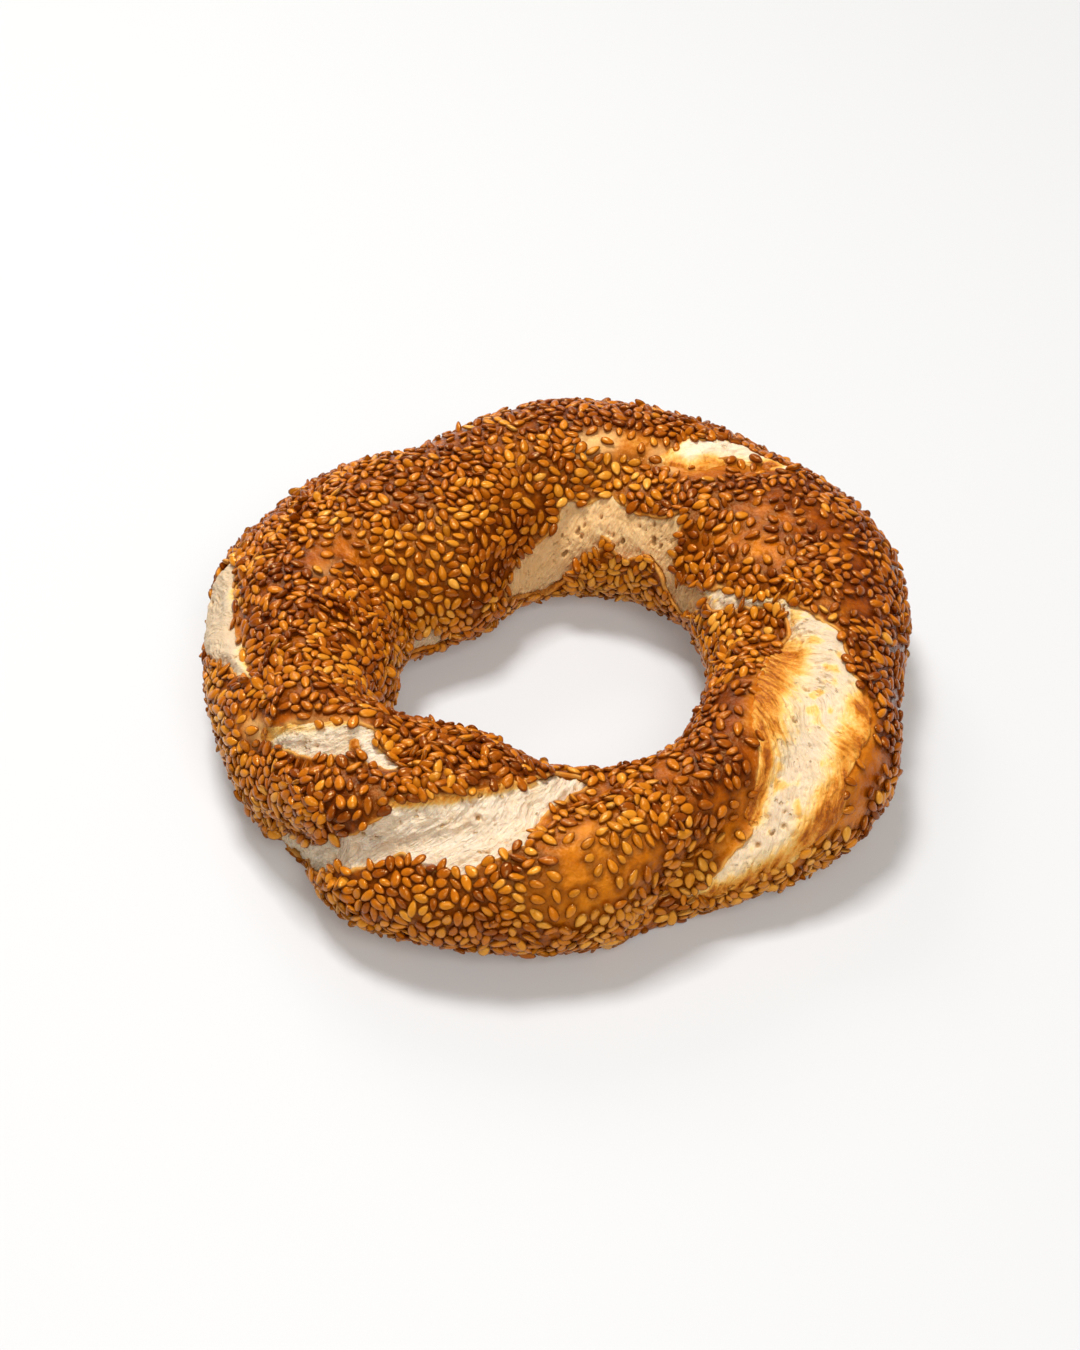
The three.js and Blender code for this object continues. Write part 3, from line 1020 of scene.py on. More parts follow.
# %% Hidden faces on the crumb's map
HIDDEN_STRIP = 5  # mm
SMALL_FACE = [[0.1, 0.1], [0.9, 0.1], [0.1, 0.9]]  # in a cell of the strip
hidden = np.arange(len(crumb_faces) - len(crumb_top))
in_a_row = math.ceil(math.sqrt(len(hidden) * SHELF_LENGTH / HIDDEN_STRIP))
cell = SHELF_LENGTH / in_a_row
cell_place = np.stack([hidden % in_a_row, hidden // in_a_row], 1) * cell + [0, shelf_y]
on_map[len(crumb_top):] = cell_place[:, None] + np.array(SMALL_FACE) * cell
map_size = on_map.max((0, 1))
give_map(crumb, "OFBake", MAP_MARGIN + (1 - 2 * MAP_MARGIN) * on_map / map_size)
print("crumb's map:", np.round(map_size, 1), "mm")

# %% [markdown]
# ## Laying the seeds
# A simit is rolled in seeds until nothing more sticks. Scattered points alone would overlap in
# one place and leave gaps in another, so each seed is treated as three discs in a row that push
# its neighbours away, and after some rounds of pushing they lie packed, as on the tray of seeds.

# %% Where few seeds stuck
SPARSE = [  # a stroke's places on the loaf, its reach in mm, its strength
    ([(329, 102), (322, 101), (316, 106)], 5, 0.9), ([(308, 105), (304, 108)], 4, 0.5),
    ([(274, 44), (273, 20), (268, 24)], 8, 0.7), ([(283, 40), (283, 20)], 6, 0.5),
    ([(271, 74), (274, 60)], 6, 0.45),
    ([(26, 108), (32, 116), (39, 124)], 5.5, 1), ([(42, 131), (47, 139)], 4, 0.7),
    ([(42, 99), (31, 92)], 5, 0.6), ([(32, 80), (20, 68)], 6, 0.5),
    ([(341, 54), (333, 43), (323, 28)], 4, 0.8), ([(325, 112), (314, 97), (313, 80)], 4, 0.6),
    ([(293, 114), (295, 90), (298, 66)], 6, 0.4),
    ([(148, 108), (153, 100), (159, 100)], 6, 0.7), ([(145, 118), (147, 121)], 4, 0.5),
    ([(81, 101), (74, 97), (68, 95)], 5, 1), ([(63, 105), (58, 100), (57, 92)], 4.5, 1),
    ([(58, 92), (52, 74), (47, 66)], 3, 0.9),
    ([(199, 31), (205, 37)], 4, 1), ([(207, 47), (214, 72), (220, 95)], 2.6, 0.8),
    ([(310, 60), (306, 45), (303, 24)], 4.5, 0.9), ([(342, 60), (339, 54)], 3, 0.9),
    ([(332, 26), (326, 14), (321, 4)], 7, 0.75), ([(222, -2), (227, -8)], 4, 0.5),
    ([(244, 60), (252, 78), (259, 96)], 2.4, 0.6), ([(165, 45), (176, 47), (188, 51)], 2, 0.7),
    ([(110, 60), (114, 66)], 9, 0.6), ([(190, 5), (196, 0)], 6, 0.5), ([(20, 20), (26, 10)], 8, 0.6),
    ([(100, 10), (104, 0)], 8, 0.5), ([(345, 0), (350, -10)], 7, 0.5), ([(60, 0), (70, 10)], 7, 0.5),
]
THIN = [  # where the seeds lie looser than elsewhere
    ([(48, 84), (32, 74), (15, 50), (358, 20)], 18, 0.25), ([(150, 90), (172, 84)], 13, 0.16),
    ([(128, 76), (104, 70), (82, 84)], 14, 0.15), ([(230, 60), (236, 30)], 9, 0.15),
    ([(110, 120), (130, 130), (150, 140)], 12, 0.12),
]
ROOM_IN_SPARSE = 1.15  # how much more room a seed takes there, in its own sizes
THIN_CORE = 0.4
PATCHES = ((7, 0.2, 61),)  # closer and wider from patch to patch
CROWDED = 0.14  # how much closer the seeds lie along a tear
CROWDED_FROM, CROWDED_TO = -3, -0.5  # mm inside a tear
table_places = np.stack([turn_grid.ravel(), around_grid.ravel()], 1)
bare_table = stroke_table(SPARSE)
patches = layered(skin.reshape(-1, 3), PATCHES).reshape(bare_table.shape)
room_table = 1 + ROOM_IN_SPARSE * bare_table + stroke_table(THIN, 1, THIN_CORE) + patches
room_table -= CROWDED * ease(torn_table, CROWDED_FROM, CROWDED_TO) * (1 - bare_table)
give_crust_values("bare", look_up(bare_table, *places.T))
print("room for a seed:", span(room_table), "of its own size")

# %% Draw the seeds
SEED_LENGTH, SEED_WIDTH, SEED_THICKNESS = 3.15, 1.88, 1.0  # mm
COVER = 0.92  # share of the crust under seeds where they lie thick
SEED_CLEAR = 0.1  # mm that a seed's middle stays from a tear
SMALLEST_SEED, LARGEST_SEED, SEED_SPREAD = 0.76, 1.25, 0.11  # of the usual size
area = turn_step * around_step * TURN_CELL * AROUND_CELL
weight = area / room_table**2 * (torn_table < -SEED_CLEAR)
seed_area = math.pi / 4 * SEED_LENGTH * SEED_WIDTH
seed_count = int(COVER * weight.sum() / seed_area)
chosen = rng.choice(weight.size, seed_count, p=(weight / weight.sum()).ravel())
seed_places = table_places[chosen]
seed_places += rng.random((seed_count, 2)) * [TURN_CELL, AROUND_CELL]
heading = rng.random(seed_count) * 2 * math.pi
seed_scale = np.clip(rng.normal(1, SEED_SPREAD, seed_count), SMALLEST_SEED, LARGEST_SEED)
print("seeds:", seed_count, "on", round(float(area.sum()) / 100), "cm2 of surface")

# %% [markdown]
# To find the discs that touch, comparing every pair would take a quarter of a billion steps a
# round. Sorting the discs into cells first leaves only the neighbours to compare.

# %% Pairs of discs that are near
CELL_SHIFT, CELL_WIDE = 500, 1000  # cells from the frame's corner, and more than lie in a row


def near_pairs(points, reach):
    """Numbers of the points that share or adjoin a cell of that size, each pair once."""
    cell = np.floor(points / reach).astype(np.int64) + CELL_SHIFT
    key = (cell[:, 0] * CELL_WIDE + cell[:, 1]) * CELL_WIDE + cell[:, 2]
    order = np.argsort(key, kind="stable")
    sorted_key = key[order]
    firsts, seconds = [], []
    for x, y, z in np.ndindex(3, 3, 3):
        shift = ((x - 1) * CELL_WIDE + y - 1) * CELL_WIDE + z - 1
        if shift < 0:
            continue
        start = np.searchsorted(sorted_key, key + shift, "left")
        count = np.searchsorted(sorted_key, key + shift, "right") - start
        first = np.repeat(np.arange(len(points)), count)
        place_in_cell = np.arange(count.sum()) - np.repeat(np.cumsum(count) - count, count)
        second = order[np.repeat(start, count) + place_in_cell]
        once = (first < second) | (shift > 0)
        firsts.append(first[once])
        seconds.append(second[once])
    return np.concatenate(firsts), np.concatenate(seconds)


# %% How seeds overlap
DISC_AT = np.array([-0.27, 0.02, 0.3])  # in seed lengths from its middle
DISC_RADIUS = np.array([0.4, 0.48, 0.34])  # in seed widths
NEAR = 2.0  # mm, side of the cells in which neighbours are looked for


def seed_frame(seed_places, heading):
    """Points, outward, lengthwise, turnwise and round directions, and depth in a tear, of the seeds."""
    points, normals, turnwise, torn = read_surface(seed_places)
    aroundwise = np.cross(normals, turnwise)
    lengthwise = (np.cos(heading)[:, None] * turnwise + np.sin(heading)[:, None] * aroundwise)
    return points, normals, lengthwise, turnwise, aroundwise, torn


def overlaps_of(points, lengthwise, room):
    """Overlapping discs of neighbouring seeds: their numbers, push directions, overlaps and arms."""
    arm = (DISC_AT[None, :] * SEED_LENGTH * seed_scale[:, None])[..., None] * lengthwise[:, None, :]
    centres = (points[:, None, :] + arm).reshape(-1, 3)
    radii = (DISC_RADIUS[None, :] * SEED_WIDTH * (seed_scale * room)[:, None]).ravel()
    first, second = near_pairs(centres, NEAR)
    other_seed = first // len(DISC_AT) != second // len(DISC_AT)
    first, second = first[other_seed], second[other_seed]
    gap = centres[first] - centres[second]
    overlap = radii[first] + radii[second] - np.linalg.norm(gap, axis=1)
    touching = overlap > 0
    first, second = first[touching], second[touching]
    return first, second, unit(gap[touching]), overlap[touching], arm.reshape(-1, 3)


# %% Push the seeds apart
ROUNDS = 30
PUSH = 0.45  # share of an overlap that one round takes out
LONGEST_MOVE = 0.4  # mm in a round
BACK_FROM_TEAR = 0.3  # share of the way out of a tear in a round
TURN_EASE, MOST_TWIST = 0.8, 0.3  # how readily a seed turns, and the most before that


def summed(disc, vectors):
    """Vectors at discs, added up for each seed."""
    seed = disc // len(DISC_AT)
    return np.stack([np.bincount(seed, vectors[:, k], seed_count) for k in range(3)], 1)


for _ in range(ROUNDS):
    points, normals, lengthwise, turnwise, aroundwise, torn = seed_frame(seed_places, heading)
    room = look_up(room_table, *seed_places.T)
    first, second, direction, overlap, arm = overlaps_of(points, lengthwise, room)
    push = direction * (overlap * PUSH / 2)[:, None]
    move = summed(first, push) - summed(second, push)
    twist = summed(first, np.cross(arm[first], push)) - summed(second, np.cross(arm[second], push))
    length = np.linalg.norm(move, axis=1, keepdims=True)
    move *= np.minimum(1, LONGEST_MOVE / np.maximum(length, TINY))
    away = into_tear(seed_places, normals, turnwise, points)
    move -= away * (BACK_FROM_TEAR * np.maximum(0, torn + SEED_CLEAR))[:, None]
    seed_places[:, 0] += (move * turnwise).sum(1) / look_up(turn_step, *seed_places.T)
    seed_places[:, 1] += (move * aroundwise).sum(1) / look_up(around_step, *seed_places.T)
    heading += TURN_EASE * np.clip((twist * normals).sum(1), -MOST_TWIST, MOST_TWIST)
print("rounds:", ROUNDS, "mean overlap left:", average(overlap), "mm")

# %% How each seed lies
OVERHANG = 0.3  # mm by which a seed's middle may pass a tear's edge
SINK = 0.2  # mm that a seed's lower face lies in the glaze
UNEVEN, PILED_LIFT, LOOSE_LIFT = 0.1, 0.38, 0.25  # mm
PILED_FROM, PILED_TO = 0.2, 0.9  # mm of overlap that is left
TILT, TILT_PILED, TILT_LOOSE = 14, 26, 22  # degrees
LOOSE_SHARE = 0.05  # of the seeds, which stand up from the rest
points, normals, lengthwise, turnwise, aroundwise, torn = seed_frame(seed_places, heading)
_, second, _, overlap, _ = overlaps_of(points, lengthwise, np.ones(seed_count))
squeezed = np.bincount(second // len(DISC_AT), overlap, seed_count)
piled = ease(squeezed, PILED_FROM, PILED_TO)
keep = torn < OVERHANG
free = 1 - on_the_tray(points)
lift = SEED_THICKNESS / 2 - SINK + UNEVEN * rng.random(seed_count)
lift += PILED_LIFT * piled * rng.random(seed_count)
height = crust_level(points, torn, look_up(toast_table, *seed_places.T)) + lift * free
loose = rng.random(seed_count) < LOOSE_SHARE
height += LOOSE_LIFT * loose * free
tilt = np.radians(TILT + TILT_PILED * piled + TILT_LOOSE * loose) * free
print("seeds kept:", int(keep.sum()), "of which loose:", int((loose & keep).sum()))

# %% Directions and places of the seeds
STRETCH_SPREAD = [0.06, 0.07, 0.1]  # along, across and through a seed
TRAY_GAP = 0.15  # mm that the lowest seeds stay above the tray
BROWN_SPREAD = 0.13  # how far a seed's browning strays from the crust's
lean = rng.normal(0, 1, (2, seed_count)) * tilt
crosswise = np.cross(normals, lengthwise)
outward = unit(normals + lengthwise * lean[0][:, None] + crosswise * lean[1][:, None])
lengthwise = unit(lengthwise - outward * (lengthwise * outward).sum(1, keepdims=True))
crosswise = np.cross(outward, lengthwise)
stretch = seed_scale[:, None] * (1 + rng.normal(0, 1, (seed_count, 3)) * STRETCH_SPREAD)
half = stretch * np.array([SEED_LENGTH, SEED_WIDTH, SEED_THICKNESS]) / 2
seed_points = points + normals * height[:, None]
reach_down = np.sqrt((half[:, 0] * lengthwise[:, 2]) ** 2 + (half[:, 1] * crosswise[:, 2]) ** 2
                     + (half[:, 2] * outward[:, 2]) ** 2)
seed_points[:, 2] = np.maximum(seed_points[:, 2], reach_down + TRAY_GAP)
seed_brown = browning(seed_places, points) + rng.normal(0, BROWN_SPREAD, seed_count)
print("lowest seed:", round(float((seed_points[:, 2] - reach_down)[keep].min()), 2), "mm")

# %% [markdown]
# ### The glaze between the seeds
# Where seeds lie close, shade falls in the crevices between them. Here that shade is painted into
# the glaze as a darker colour, and where the glaze lies open it is painted lighter. Ambient
# occlusion nodes could find those crevices at each render, but they can't be baked into a plain
# colour. The distance from each vertex of the crust to the nearest seed is measured here once and
# stored with the crust, to say how much painted shade each place gets.

# %% Distance from the crust to the seeds
OPEN_FROM, OPEN_TO = 1.0, 2.0  # mm from the middle of the nearest seed's nearest disc, over which the painted shade fades out
seed_line = KDTree(int(keep.sum()) * len(DISC_AT))
arms = (DISC_AT[None, :] * 2 * half[keep, :1])[..., None] * lengthwise[keep][:, None, :]
for number, place in enumerate((seed_points[keep][:, None, :] + arms).reshape(-1, 3)):
    seed_line.insert(place, number)
seed_line.balance()
to_seed = np.array([seed_line.find(place)[2] for place in top])
# painted shade: 0 beside a seed, where the glaze is drawn darker, 1 where it lies clear of seeds
glaze_clear_of_seed_shade = ease(to_seed, OPEN_FROM, OPEN_TO)
give_crust_values("open", glaze_clear_of_seed_shade)
print("share of the crust's glaze that lies open:", average(glaze_clear_of_seed_shade))

# %% [markdown]
# ## The seed, and one tree that lays them all
# Geometry Nodes copy one seed to each laid point: a few dozen faces, pulled from a ball into the
# flat drop of a sesame seed. Each point brings its own directions and size. The copies also get a
# square of the UV map each, so that a material can tell the seeds apart and knows where on a seed
# it is.
#
# Sums in a tree could be linked one node at a time, but a formula is easier to read. So a small
# class stands for a node's output, and each plus, minus or times on it adds a Math node. The
# finishes further down are written the same way.

# %% Nodes from Python expressions
class Value:
    """A node's output that can be used in Python expressions: each operator adds a Math node."""

    def __init__(self, bench, socket):
        self.bench = bench
        self.socket = socket

    def maths(self, operation, *values):
        """One Math node."""
        return self.bench.add("ShaderNodeMath", {"operation": operation}, dict(enumerate(values)))

    def __add__(self, other):
        return self.maths("ADD", self, other)

    def __radd__(self, other):
        return self.maths("ADD", other, self)

    def __sub__(self, other):
        return self.maths("SUBTRACT", self, other)

    def __rsub__(self, other):
        return self.maths("SUBTRACT", other, self)

    def __mul__(self, other):
        return self.maths("MULTIPLY", self, other)

    def __rmul__(self, other):
        return self.maths("MULTIPLY", other, self)

    def __truediv__(self, other):
        return self.maths("DIVIDE", self, other)

    def __pow__(self, other):
        return self.maths("POWER", self, other)

    def __abs__(self):
        return self.maths("ABSOLUTE", self)


class Bench:
    """Adds nodes to one tree."""

    def __init__(self, tree):
        self.tree = tree

    def add(self, kind, settings=None, values=None, out=0):
        """One node: its settings, a ramp's stops among them, then its sockets' values or links.
        Returns one of its outputs."""
        node = self.tree.nodes.new(kind)
        for name, setting in (settings or {}).items():
            if name == "stops":
                ramp = node.color_ramp
                while len(ramp.elements) < len(setting):
                    ramp.elements.new(1)
                for element, (place, colour) in zip(ramp.elements, setting):
                    element.position = place
                    element.color = (*colour, 1)
            else:
                setattr(node, name, setting)
        for name, value in (values or {}).items():
            if isinstance(value, Value):
                self.tree.links.new(value.socket, node.inputs[name])
            else:
                node.inputs[name].default_value = value
        return Value(self, node.outputs[out])


# %% Tree of the seeds: its inputs
CELLS = 50  # squares of the UV map along each side
SPOT_SHARE = 0.46  # of a square, from its middle to a seed's rim
seed_tree = bpy.data.node_groups.new("lay_seeds", "GeometryNodeTree")
face = seed_tree.interface
face.new_socket("Points", in_out="INPUT", socket_type="NodeSocketGeometry")
for name in ("Length", "Width", "Thickness", "Taper"):
    face.new_socket(name, in_out="INPUT", socket_type="NodeSocketFloat")
face.new_socket("Finish", in_out="INPUT", socket_type="NodeSocketMaterial")
face.new_socket("Seeds", in_out="OUTPUT", socket_type="NodeSocketGeometry")
bench = Bench(seed_tree)
group_in = seed_tree.nodes.new("NodeGroupInput")
given = {socket.name: Value(bench, socket) for socket in group_in.outputs if socket.name}


def brought(name):
    """A vector that the points bring."""
    return bench.add(
        "GeometryNodeInputNamedAttribute", {"data_type": "FLOAT_VECTOR"}, {"Name": name})


print("inputs of the seed tree:", ", ".join(given))

# %% Tree of the seeds: one seed
BALL_SEGMENTS, BALL_RINGS = 8, 6
WAIST = 0.12  # how much the ends narrow beyond the taper
FLATNESS = 0.85  # a power under 1 squares the seed's back
THIN_END = 0.6  # how much of the taper the thickness takes
HALF = 0.5  # of each size, because the ball reaches 1 to either side
ball = bench.add(
    "GeometryNodeMeshUVSphere", {}, {"Segments": BALL_SEGMENTS, "Rings": BALL_RINGS, "Radius": 1})
ball = bench.add("GeometryNodeTransform", {}, {"Geometry": ball, "Rotation": (0, math.pi / 2, 0)})
place = bench.add("GeometryNodeInputPosition")
ball = bench.add(
    "GeometryNodeStoreNamedAttribute", {"data_type": "FLOAT_VECTOR", "domain": "POINT"},
    {"Geometry": ball, "Name": "spot", "Value": place})
x, y, z = (bench.add("ShaderNodeSeparateXYZ", {}, {"Vector": place}, axis) for axis in "XYZ")
narrower = 1 - given["Taper"] * x - WAIST * x * x
flatter = z.maths("SIGN", z) * abs(z) ** FLATNESS
shape = bench.add("ShaderNodeCombineXYZ", {}, {
    "X": x * given["Length"] * HALF,
    "Y": y * narrower * given["Width"] * HALF,
    "Z": flatter * (1 - THIN_END * given["Taper"] * x) * given["Thickness"] * HALF})
one_seed = bench.add("GeometryNodeSetPosition", {}, {"Geometry": ball, "Position": shape})
print("triangles in a seed:", 2 * BALL_SEGMENTS * (BALL_RINGS - 1))

# %% Tree of the seeds: all of them
turned = bench.add("FunctionNodeAxesToRotation", {"primary_axis": "Z", "secondary_axis": "X"}, {
    "Primary Axis": brought("outward"), "Secondary Axis": brought("lengthwise")})
laid = bench.add("GeometryNodeInstanceOnPoints", {}, {
    "Points": given["Points"], "Instance": one_seed, "Rotation": turned,
    "Scale": brought("stretch")})
laid = bench.add("GeometryNodeRealizeInstances", {}, {"Geometry": laid})
square = bench.add("ShaderNodeVectorMath", {"operation": "MULTIPLY_ADD"}, {
    0: brought("spot"), 1: (SPOT_SHARE,) * 3, 2: brought("cell")})
square = bench.add("ShaderNodeVectorMath", {"operation": "SCALE"}, {0: square, "Scale": 1 / CELLS})
laid = bench.add(
    "GeometryNodeStoreNamedAttribute", {"data_type": "FLOAT2", "domain": "CORNER"},
    {"Geometry": laid, "Name": "OFBake", "Value": square})
laid = bench.add("GeometryNodeSetShadeSmooth", {}, {"Geometry": laid})
laid = bench.add("GeometryNodeSetMaterial", {}, {"Geometry": laid, "Material": given["Finish"]})
group_out = seed_tree.nodes.new("NodeGroupOutput")
seed_tree.links.new(laid.socket, group_out.inputs["Seeds"])
print("nodes in the seed tree:", len(seed_tree.nodes))


# %% Points that carry what a seed needs
def seed_points_mesh(name, numbers):
    """The middles of some of the seeds, each with its directions, its size and its square."""
    mesh = mesh_of_points(name, seed_points[numbers])
    count = np.arange(len(numbers))
    cell = np.stack([count % CELLS + 0.5, count // CELLS + 0.5, 0 * count], 1)
    carried = {"outward": outward[numbers], "lengthwise": lengthwise[numbers],
               "stretch": stretch[numbers], "cell": cell}
    for attribute, values in carried.items():
        mesh.attributes.new(attribute, "FLOAT_VECTOR", "POINT").data.foreach_set(
            "vector", values.astype(np.float32).ravel())
    return mesh


# %% From laid points to a plain mesh
SEED_TAPER = 0.26
SEED_SIZES = {"Length": SEED_LENGTH * MM, "Width": SEED_WIDTH * MM,
              "Thickness": SEED_THICKNESS * MM, "Taper": SEED_TAPER}


def lay_seeds(name, numbers, finish):
    """One piece of plain mesh with all the seeds of a kind."""
    holder = in_scene(name + "_points", seed_points_mesh(name + "_points", numbers))
    modifier = holder.modifiers.new("lay_seeds", "NODES")
    modifier.node_group = seed_tree
    inputs = {**SEED_SIZES, "Finish": finish}
    for socket in seed_tree.interface.items_tree:
        if socket.name in inputs:
            modifier[socket.identifier] = inputs[socket.name]
    evaluated = holder.evaluated_get(bpy.context.evaluated_depsgraph_get())
    mesh = bpy.data.meshes.new_from_object(evaluated)
    for attribute in ("outward", "lengthwise", "stretch", "cell", "spot"):
        if attribute in mesh.attributes:
            mesh.attributes.remove(mesh.attributes[attribute])
    mesh.name = name
    laid_seeds = in_scene(name, mesh)
    bpy.data.objects.remove(holder)
    lowest = min(vertex.co.z for vertex in mesh.vertices)
    triangles = sum(len(polygon.vertices) - 2 for polygon in mesh.polygons)
    print(name + ":", len(numbers), "seeds,", triangles, "triangles, lowest",
          round(lowest / MM, 3), "mm")
    return laid_seeds


# %% [markdown]
# ## Finishes
# A finish here is one Principled shader whose colour, gloss and bump come from a few nodes.
# Painted pictures could give the same look, but they would be files to carry along, and nodes stay
# sharp at any distance. The numbers that each piece carries at its vertices say where it is
# browned, bare or torn, and where shade is painted into its colour. Fine noise breaks every one of
# them up, because nothing bakes evenly.

# %% Helpers for a finish
def new_finish(name):
    """A material with its bench and its Principled shader."""
    material = bpy.data.materials.new(name)
    material.use_nodes = True
    shader = material.node_tree.nodes["Principled BSDF"]
    return material, Bench(material.node_tree), shader


def feed(bench, shader, **values):
    """Links or sets the shader's sockets, named with _ for each space."""
    for name, value in values.items():
        socket = shader.inputs[name.replace("_", " ")]
        if isinstance(value, Value):
            bench.tree.links.new(value.socket, socket)
        else:
            socket.default_value = value


def own_place(bench):
    """The place on the piece in metres."""
    return bench.add("ShaderNodeTexCoord", out="Object")


def own_values(bench, *names):
    """The numbers that the piece carries at its vertices under these names."""
    return [bench.add("ShaderNodeAttribute", {"attribute_name": name}, out="Fac") for name in names]


MIX_SHARE, MIX_FIRST, MIX_SECOND, MIX_RESULT = 0, 6, 7, 2  # a Mix node's sockets for colours


def mixed(share, *colours):
    """A mix of two colours. At least one of the three comes from a node."""
    bench = next(value.bench for value in (share, *colours) if isinstance(value, Value))
    first, second = (c if isinstance(c, Value) else (*c, 1) for c in colours)
    return bench.add("ShaderNodeMix", {"data_type": "RGBA"},
                     {MIX_SHARE: share, MIX_FIRST: first, MIX_SECOND: second}, MIX_RESULT)


# %% Helpers for textures
MIDDLE_OF_NOISE = 0.5


def ramp(value, stops):
    """Colours at places from 0 to 1, and mixes between them."""
    return value.bench.add("ShaderNodeValToRGB", {"stops": stops}, {"Fac": value})


def grain(where, per_metre, detail=3.0, rough=0.55, bend=0.0):
    """Noise from 0 to 1 with that many grains to a metre."""
    return where.bench.add("ShaderNodeTexNoise", {}, {
        "Vector": where, "Scale": per_metre, "Detail": detail, "Roughness": rough,
        "Distortion": bend})


def swing(noise_value, strength):
    """Noise that swings about 0, to half that strength on either side."""
    return (noise_value - MIDDLE_OF_NOISE) * strength


def smooth(value, start, end):
    """0 at start, 1 at end, and a smooth step between them."""
    return value.bench.add("ShaderNodeMapRange", {"interpolation_type": "SMOOTHSTEP"},
                           {"Value": value, "From Min": start, "From Max": end})


def clamped(value):
    """The value held between 0 and 1."""
    return value.bench.add("ShaderNodeClamp", {}, {"Value": value})


def bumped(height, distance, strength=1.0):
    """Small relief that only bends the light."""
    return height.bench.add("ShaderNodeBump", {}, {
        "Height": height, "Distance": distance, "Strength": strength})


def vector_maths(operation, vector, other):
    """One Vector Math node. SCALE takes a number as other, the rest a vector."""
    other_socket = "Scale" if operation == "SCALE" else 1
    return vector.bench.add(
        "ShaderNodeVectorMath", {"operation": operation}, {0: vector, other_socket: other})


# %% [markdown]
# ### The crust
# The crust was dipped in grape molasses. It is amber and glossy where it lies open, and darker in
# the crevices between seeds, which is painted shade, because little light reaches there. Its torn
# edges are pale and dry. One ramp over everything would be shorter, but with a ramp for each state
# each can be changed without the others, and the numbers at the vertices mix them.

# %% Colours of the crust
GLAZE = [(0.0, (0.59, 0.175, 0.004)), (0.35, (0.465, 0.116, 0.002)), (0.7, (0.28, 0.051, 0.0007)),
         (1.0, (0.12, 0.016, 0.0002))]
# painted shade: the glaze's darker colour in the crevices beside the seeds
CREVICE_SHADE = [(0.0, (0.33, 0.074, 0.0013)), (0.8, (0.10, 0.014, 0.0002))]
OPEN_GLAZE = [(0.0, (0.78, 0.29, 0.02)), (0.3, (0.66, 0.197, 0.006)), (0.6, (0.50, 0.12, 0.002)),
              (0.9, (0.30, 0.053, 0.001))]
TOASTED_RIM = [(0.35, (0.40, 0.095, 0.003)), (0.5, (0.56, 0.16, 0.008)), (0.65, (0.76, 0.29, 0.03))]
TORN_RIM = [(0.35, (0.60, 0.20, 0.015)), (0.65, (0.84, 0.44, 0.10))]
STRETCHED_SKIN = (0.92, 0.60, 0.24)
GLAZE_SHINE = (1, 0.62, 0.2, 1)  # a brown glaze tints what it mirrors

# %% Grain of the crust
BLOTCHES, SPECKS, BLISTERS = (160,), (900, 4), (300, 2)  # grains to a metre, layers of detail
WRINKLES = (700, 5, 0.6, 0.3)  # the same, then how rough and how bent
BLOTCH_TONE, SPECK_TONE = 0.7, 0.4  # how far each swings the browning
crust_finish, bench, shader = new_finish("glazed_crust")
where = own_place(bench)
brown, toast_at, edge_at, clear_of_seed_shade_at, bare_at, pale_at = own_values(
    bench, "browning", "toast", "edge", "open", "bare", "pale")
blotch = grain(where, *BLOTCHES)
speck = grain(where, *SPECKS)
tone = brown + swing(blotch, BLOTCH_TONE) + swing(speck, SPECK_TONE)
print("nodes for the crust's grain:", len(bench.tree.nodes))

# %% Crust finish
BARE_SHARE, BARE_IF_OPEN = 0.35, 0.65  # share of the lighter open glaze on a bare place: everywhere, and more where it lies clear of the seeds' painted shade
TOAST_SHARE, EDGE_SHARE, PALE_SHARE = 0.85, 0.75, 0.2  # how far each covers the glaze
RIM_BLOTCHES, RIM_SPECKS = 0.6, 0.4
WRINKLE_SHARE = 0.5
BUMP_HEIGHT, BUMP_STRENGTH = 0.0009, 0.9  # metres, share
GLOSS, GLOSS_BLOTCHES, GLOSS_EDGE = 0.12, 0.26, 0.25  # roughness, and what blotches and edges add
# darker glaze beside the seeds is painted shade; bare patches take the lighter open glaze, more where
# clear of seeds
colour = mixed(clear_of_seed_shade_at, ramp(tone, CREVICE_SHADE), ramp(tone, GLAZE))
bare_and_unshaded = bare_at * (BARE_SHARE + BARE_IF_OPEN * clear_of_seed_shade_at)
colour = mixed(bare_and_unshaded, colour, ramp(tone, OPEN_GLAZE))
rim_tone = blotch * RIM_BLOTCHES + speck * RIM_SPECKS
colour = mixed(toast_at * TOAST_SHARE, colour, ramp(rim_tone, TOASTED_RIM))
colour = mixed(pale_at * (PALE_SHARE + blotch), colour, STRETCHED_SKIN)
colour = mixed(edge_at * edge_at * EDGE_SHARE, colour, ramp(blotch, TORN_RIM))
relief = grain(where, *WRINKLES) * WRINKLE_SHARE + grain(where, *BLISTERS)
feed(bench, shader, Base_Color=colour,
     Roughness=GLOSS + GLOSS_BLOTCHES * blotch + GLOSS_EDGE * edge_at,
     Normal=bumped(relief, BUMP_HEIGHT, BUMP_STRENGTH),
     Specular_IOR_Level=0.4, Specular_Tint=GLAZE_SHINE)
crust.data.materials.append(crust_finish)
print("nodes in the crust's finish:", len(bench.tree.nodes))

# %% [markdown]
# ### The crumb
# Crumb is matt and cream coloured, and a little light passes through its thin walls, so it has
# some subsurface scattering. Its threads and pits are finer than the triangles. Noise and cells on
# the map that runs along the strands draw them, and they are used twice, as bump and as a darker
# tone, because hardly any light reaches into a pit. Beside a toasted rim the cream turns golden.

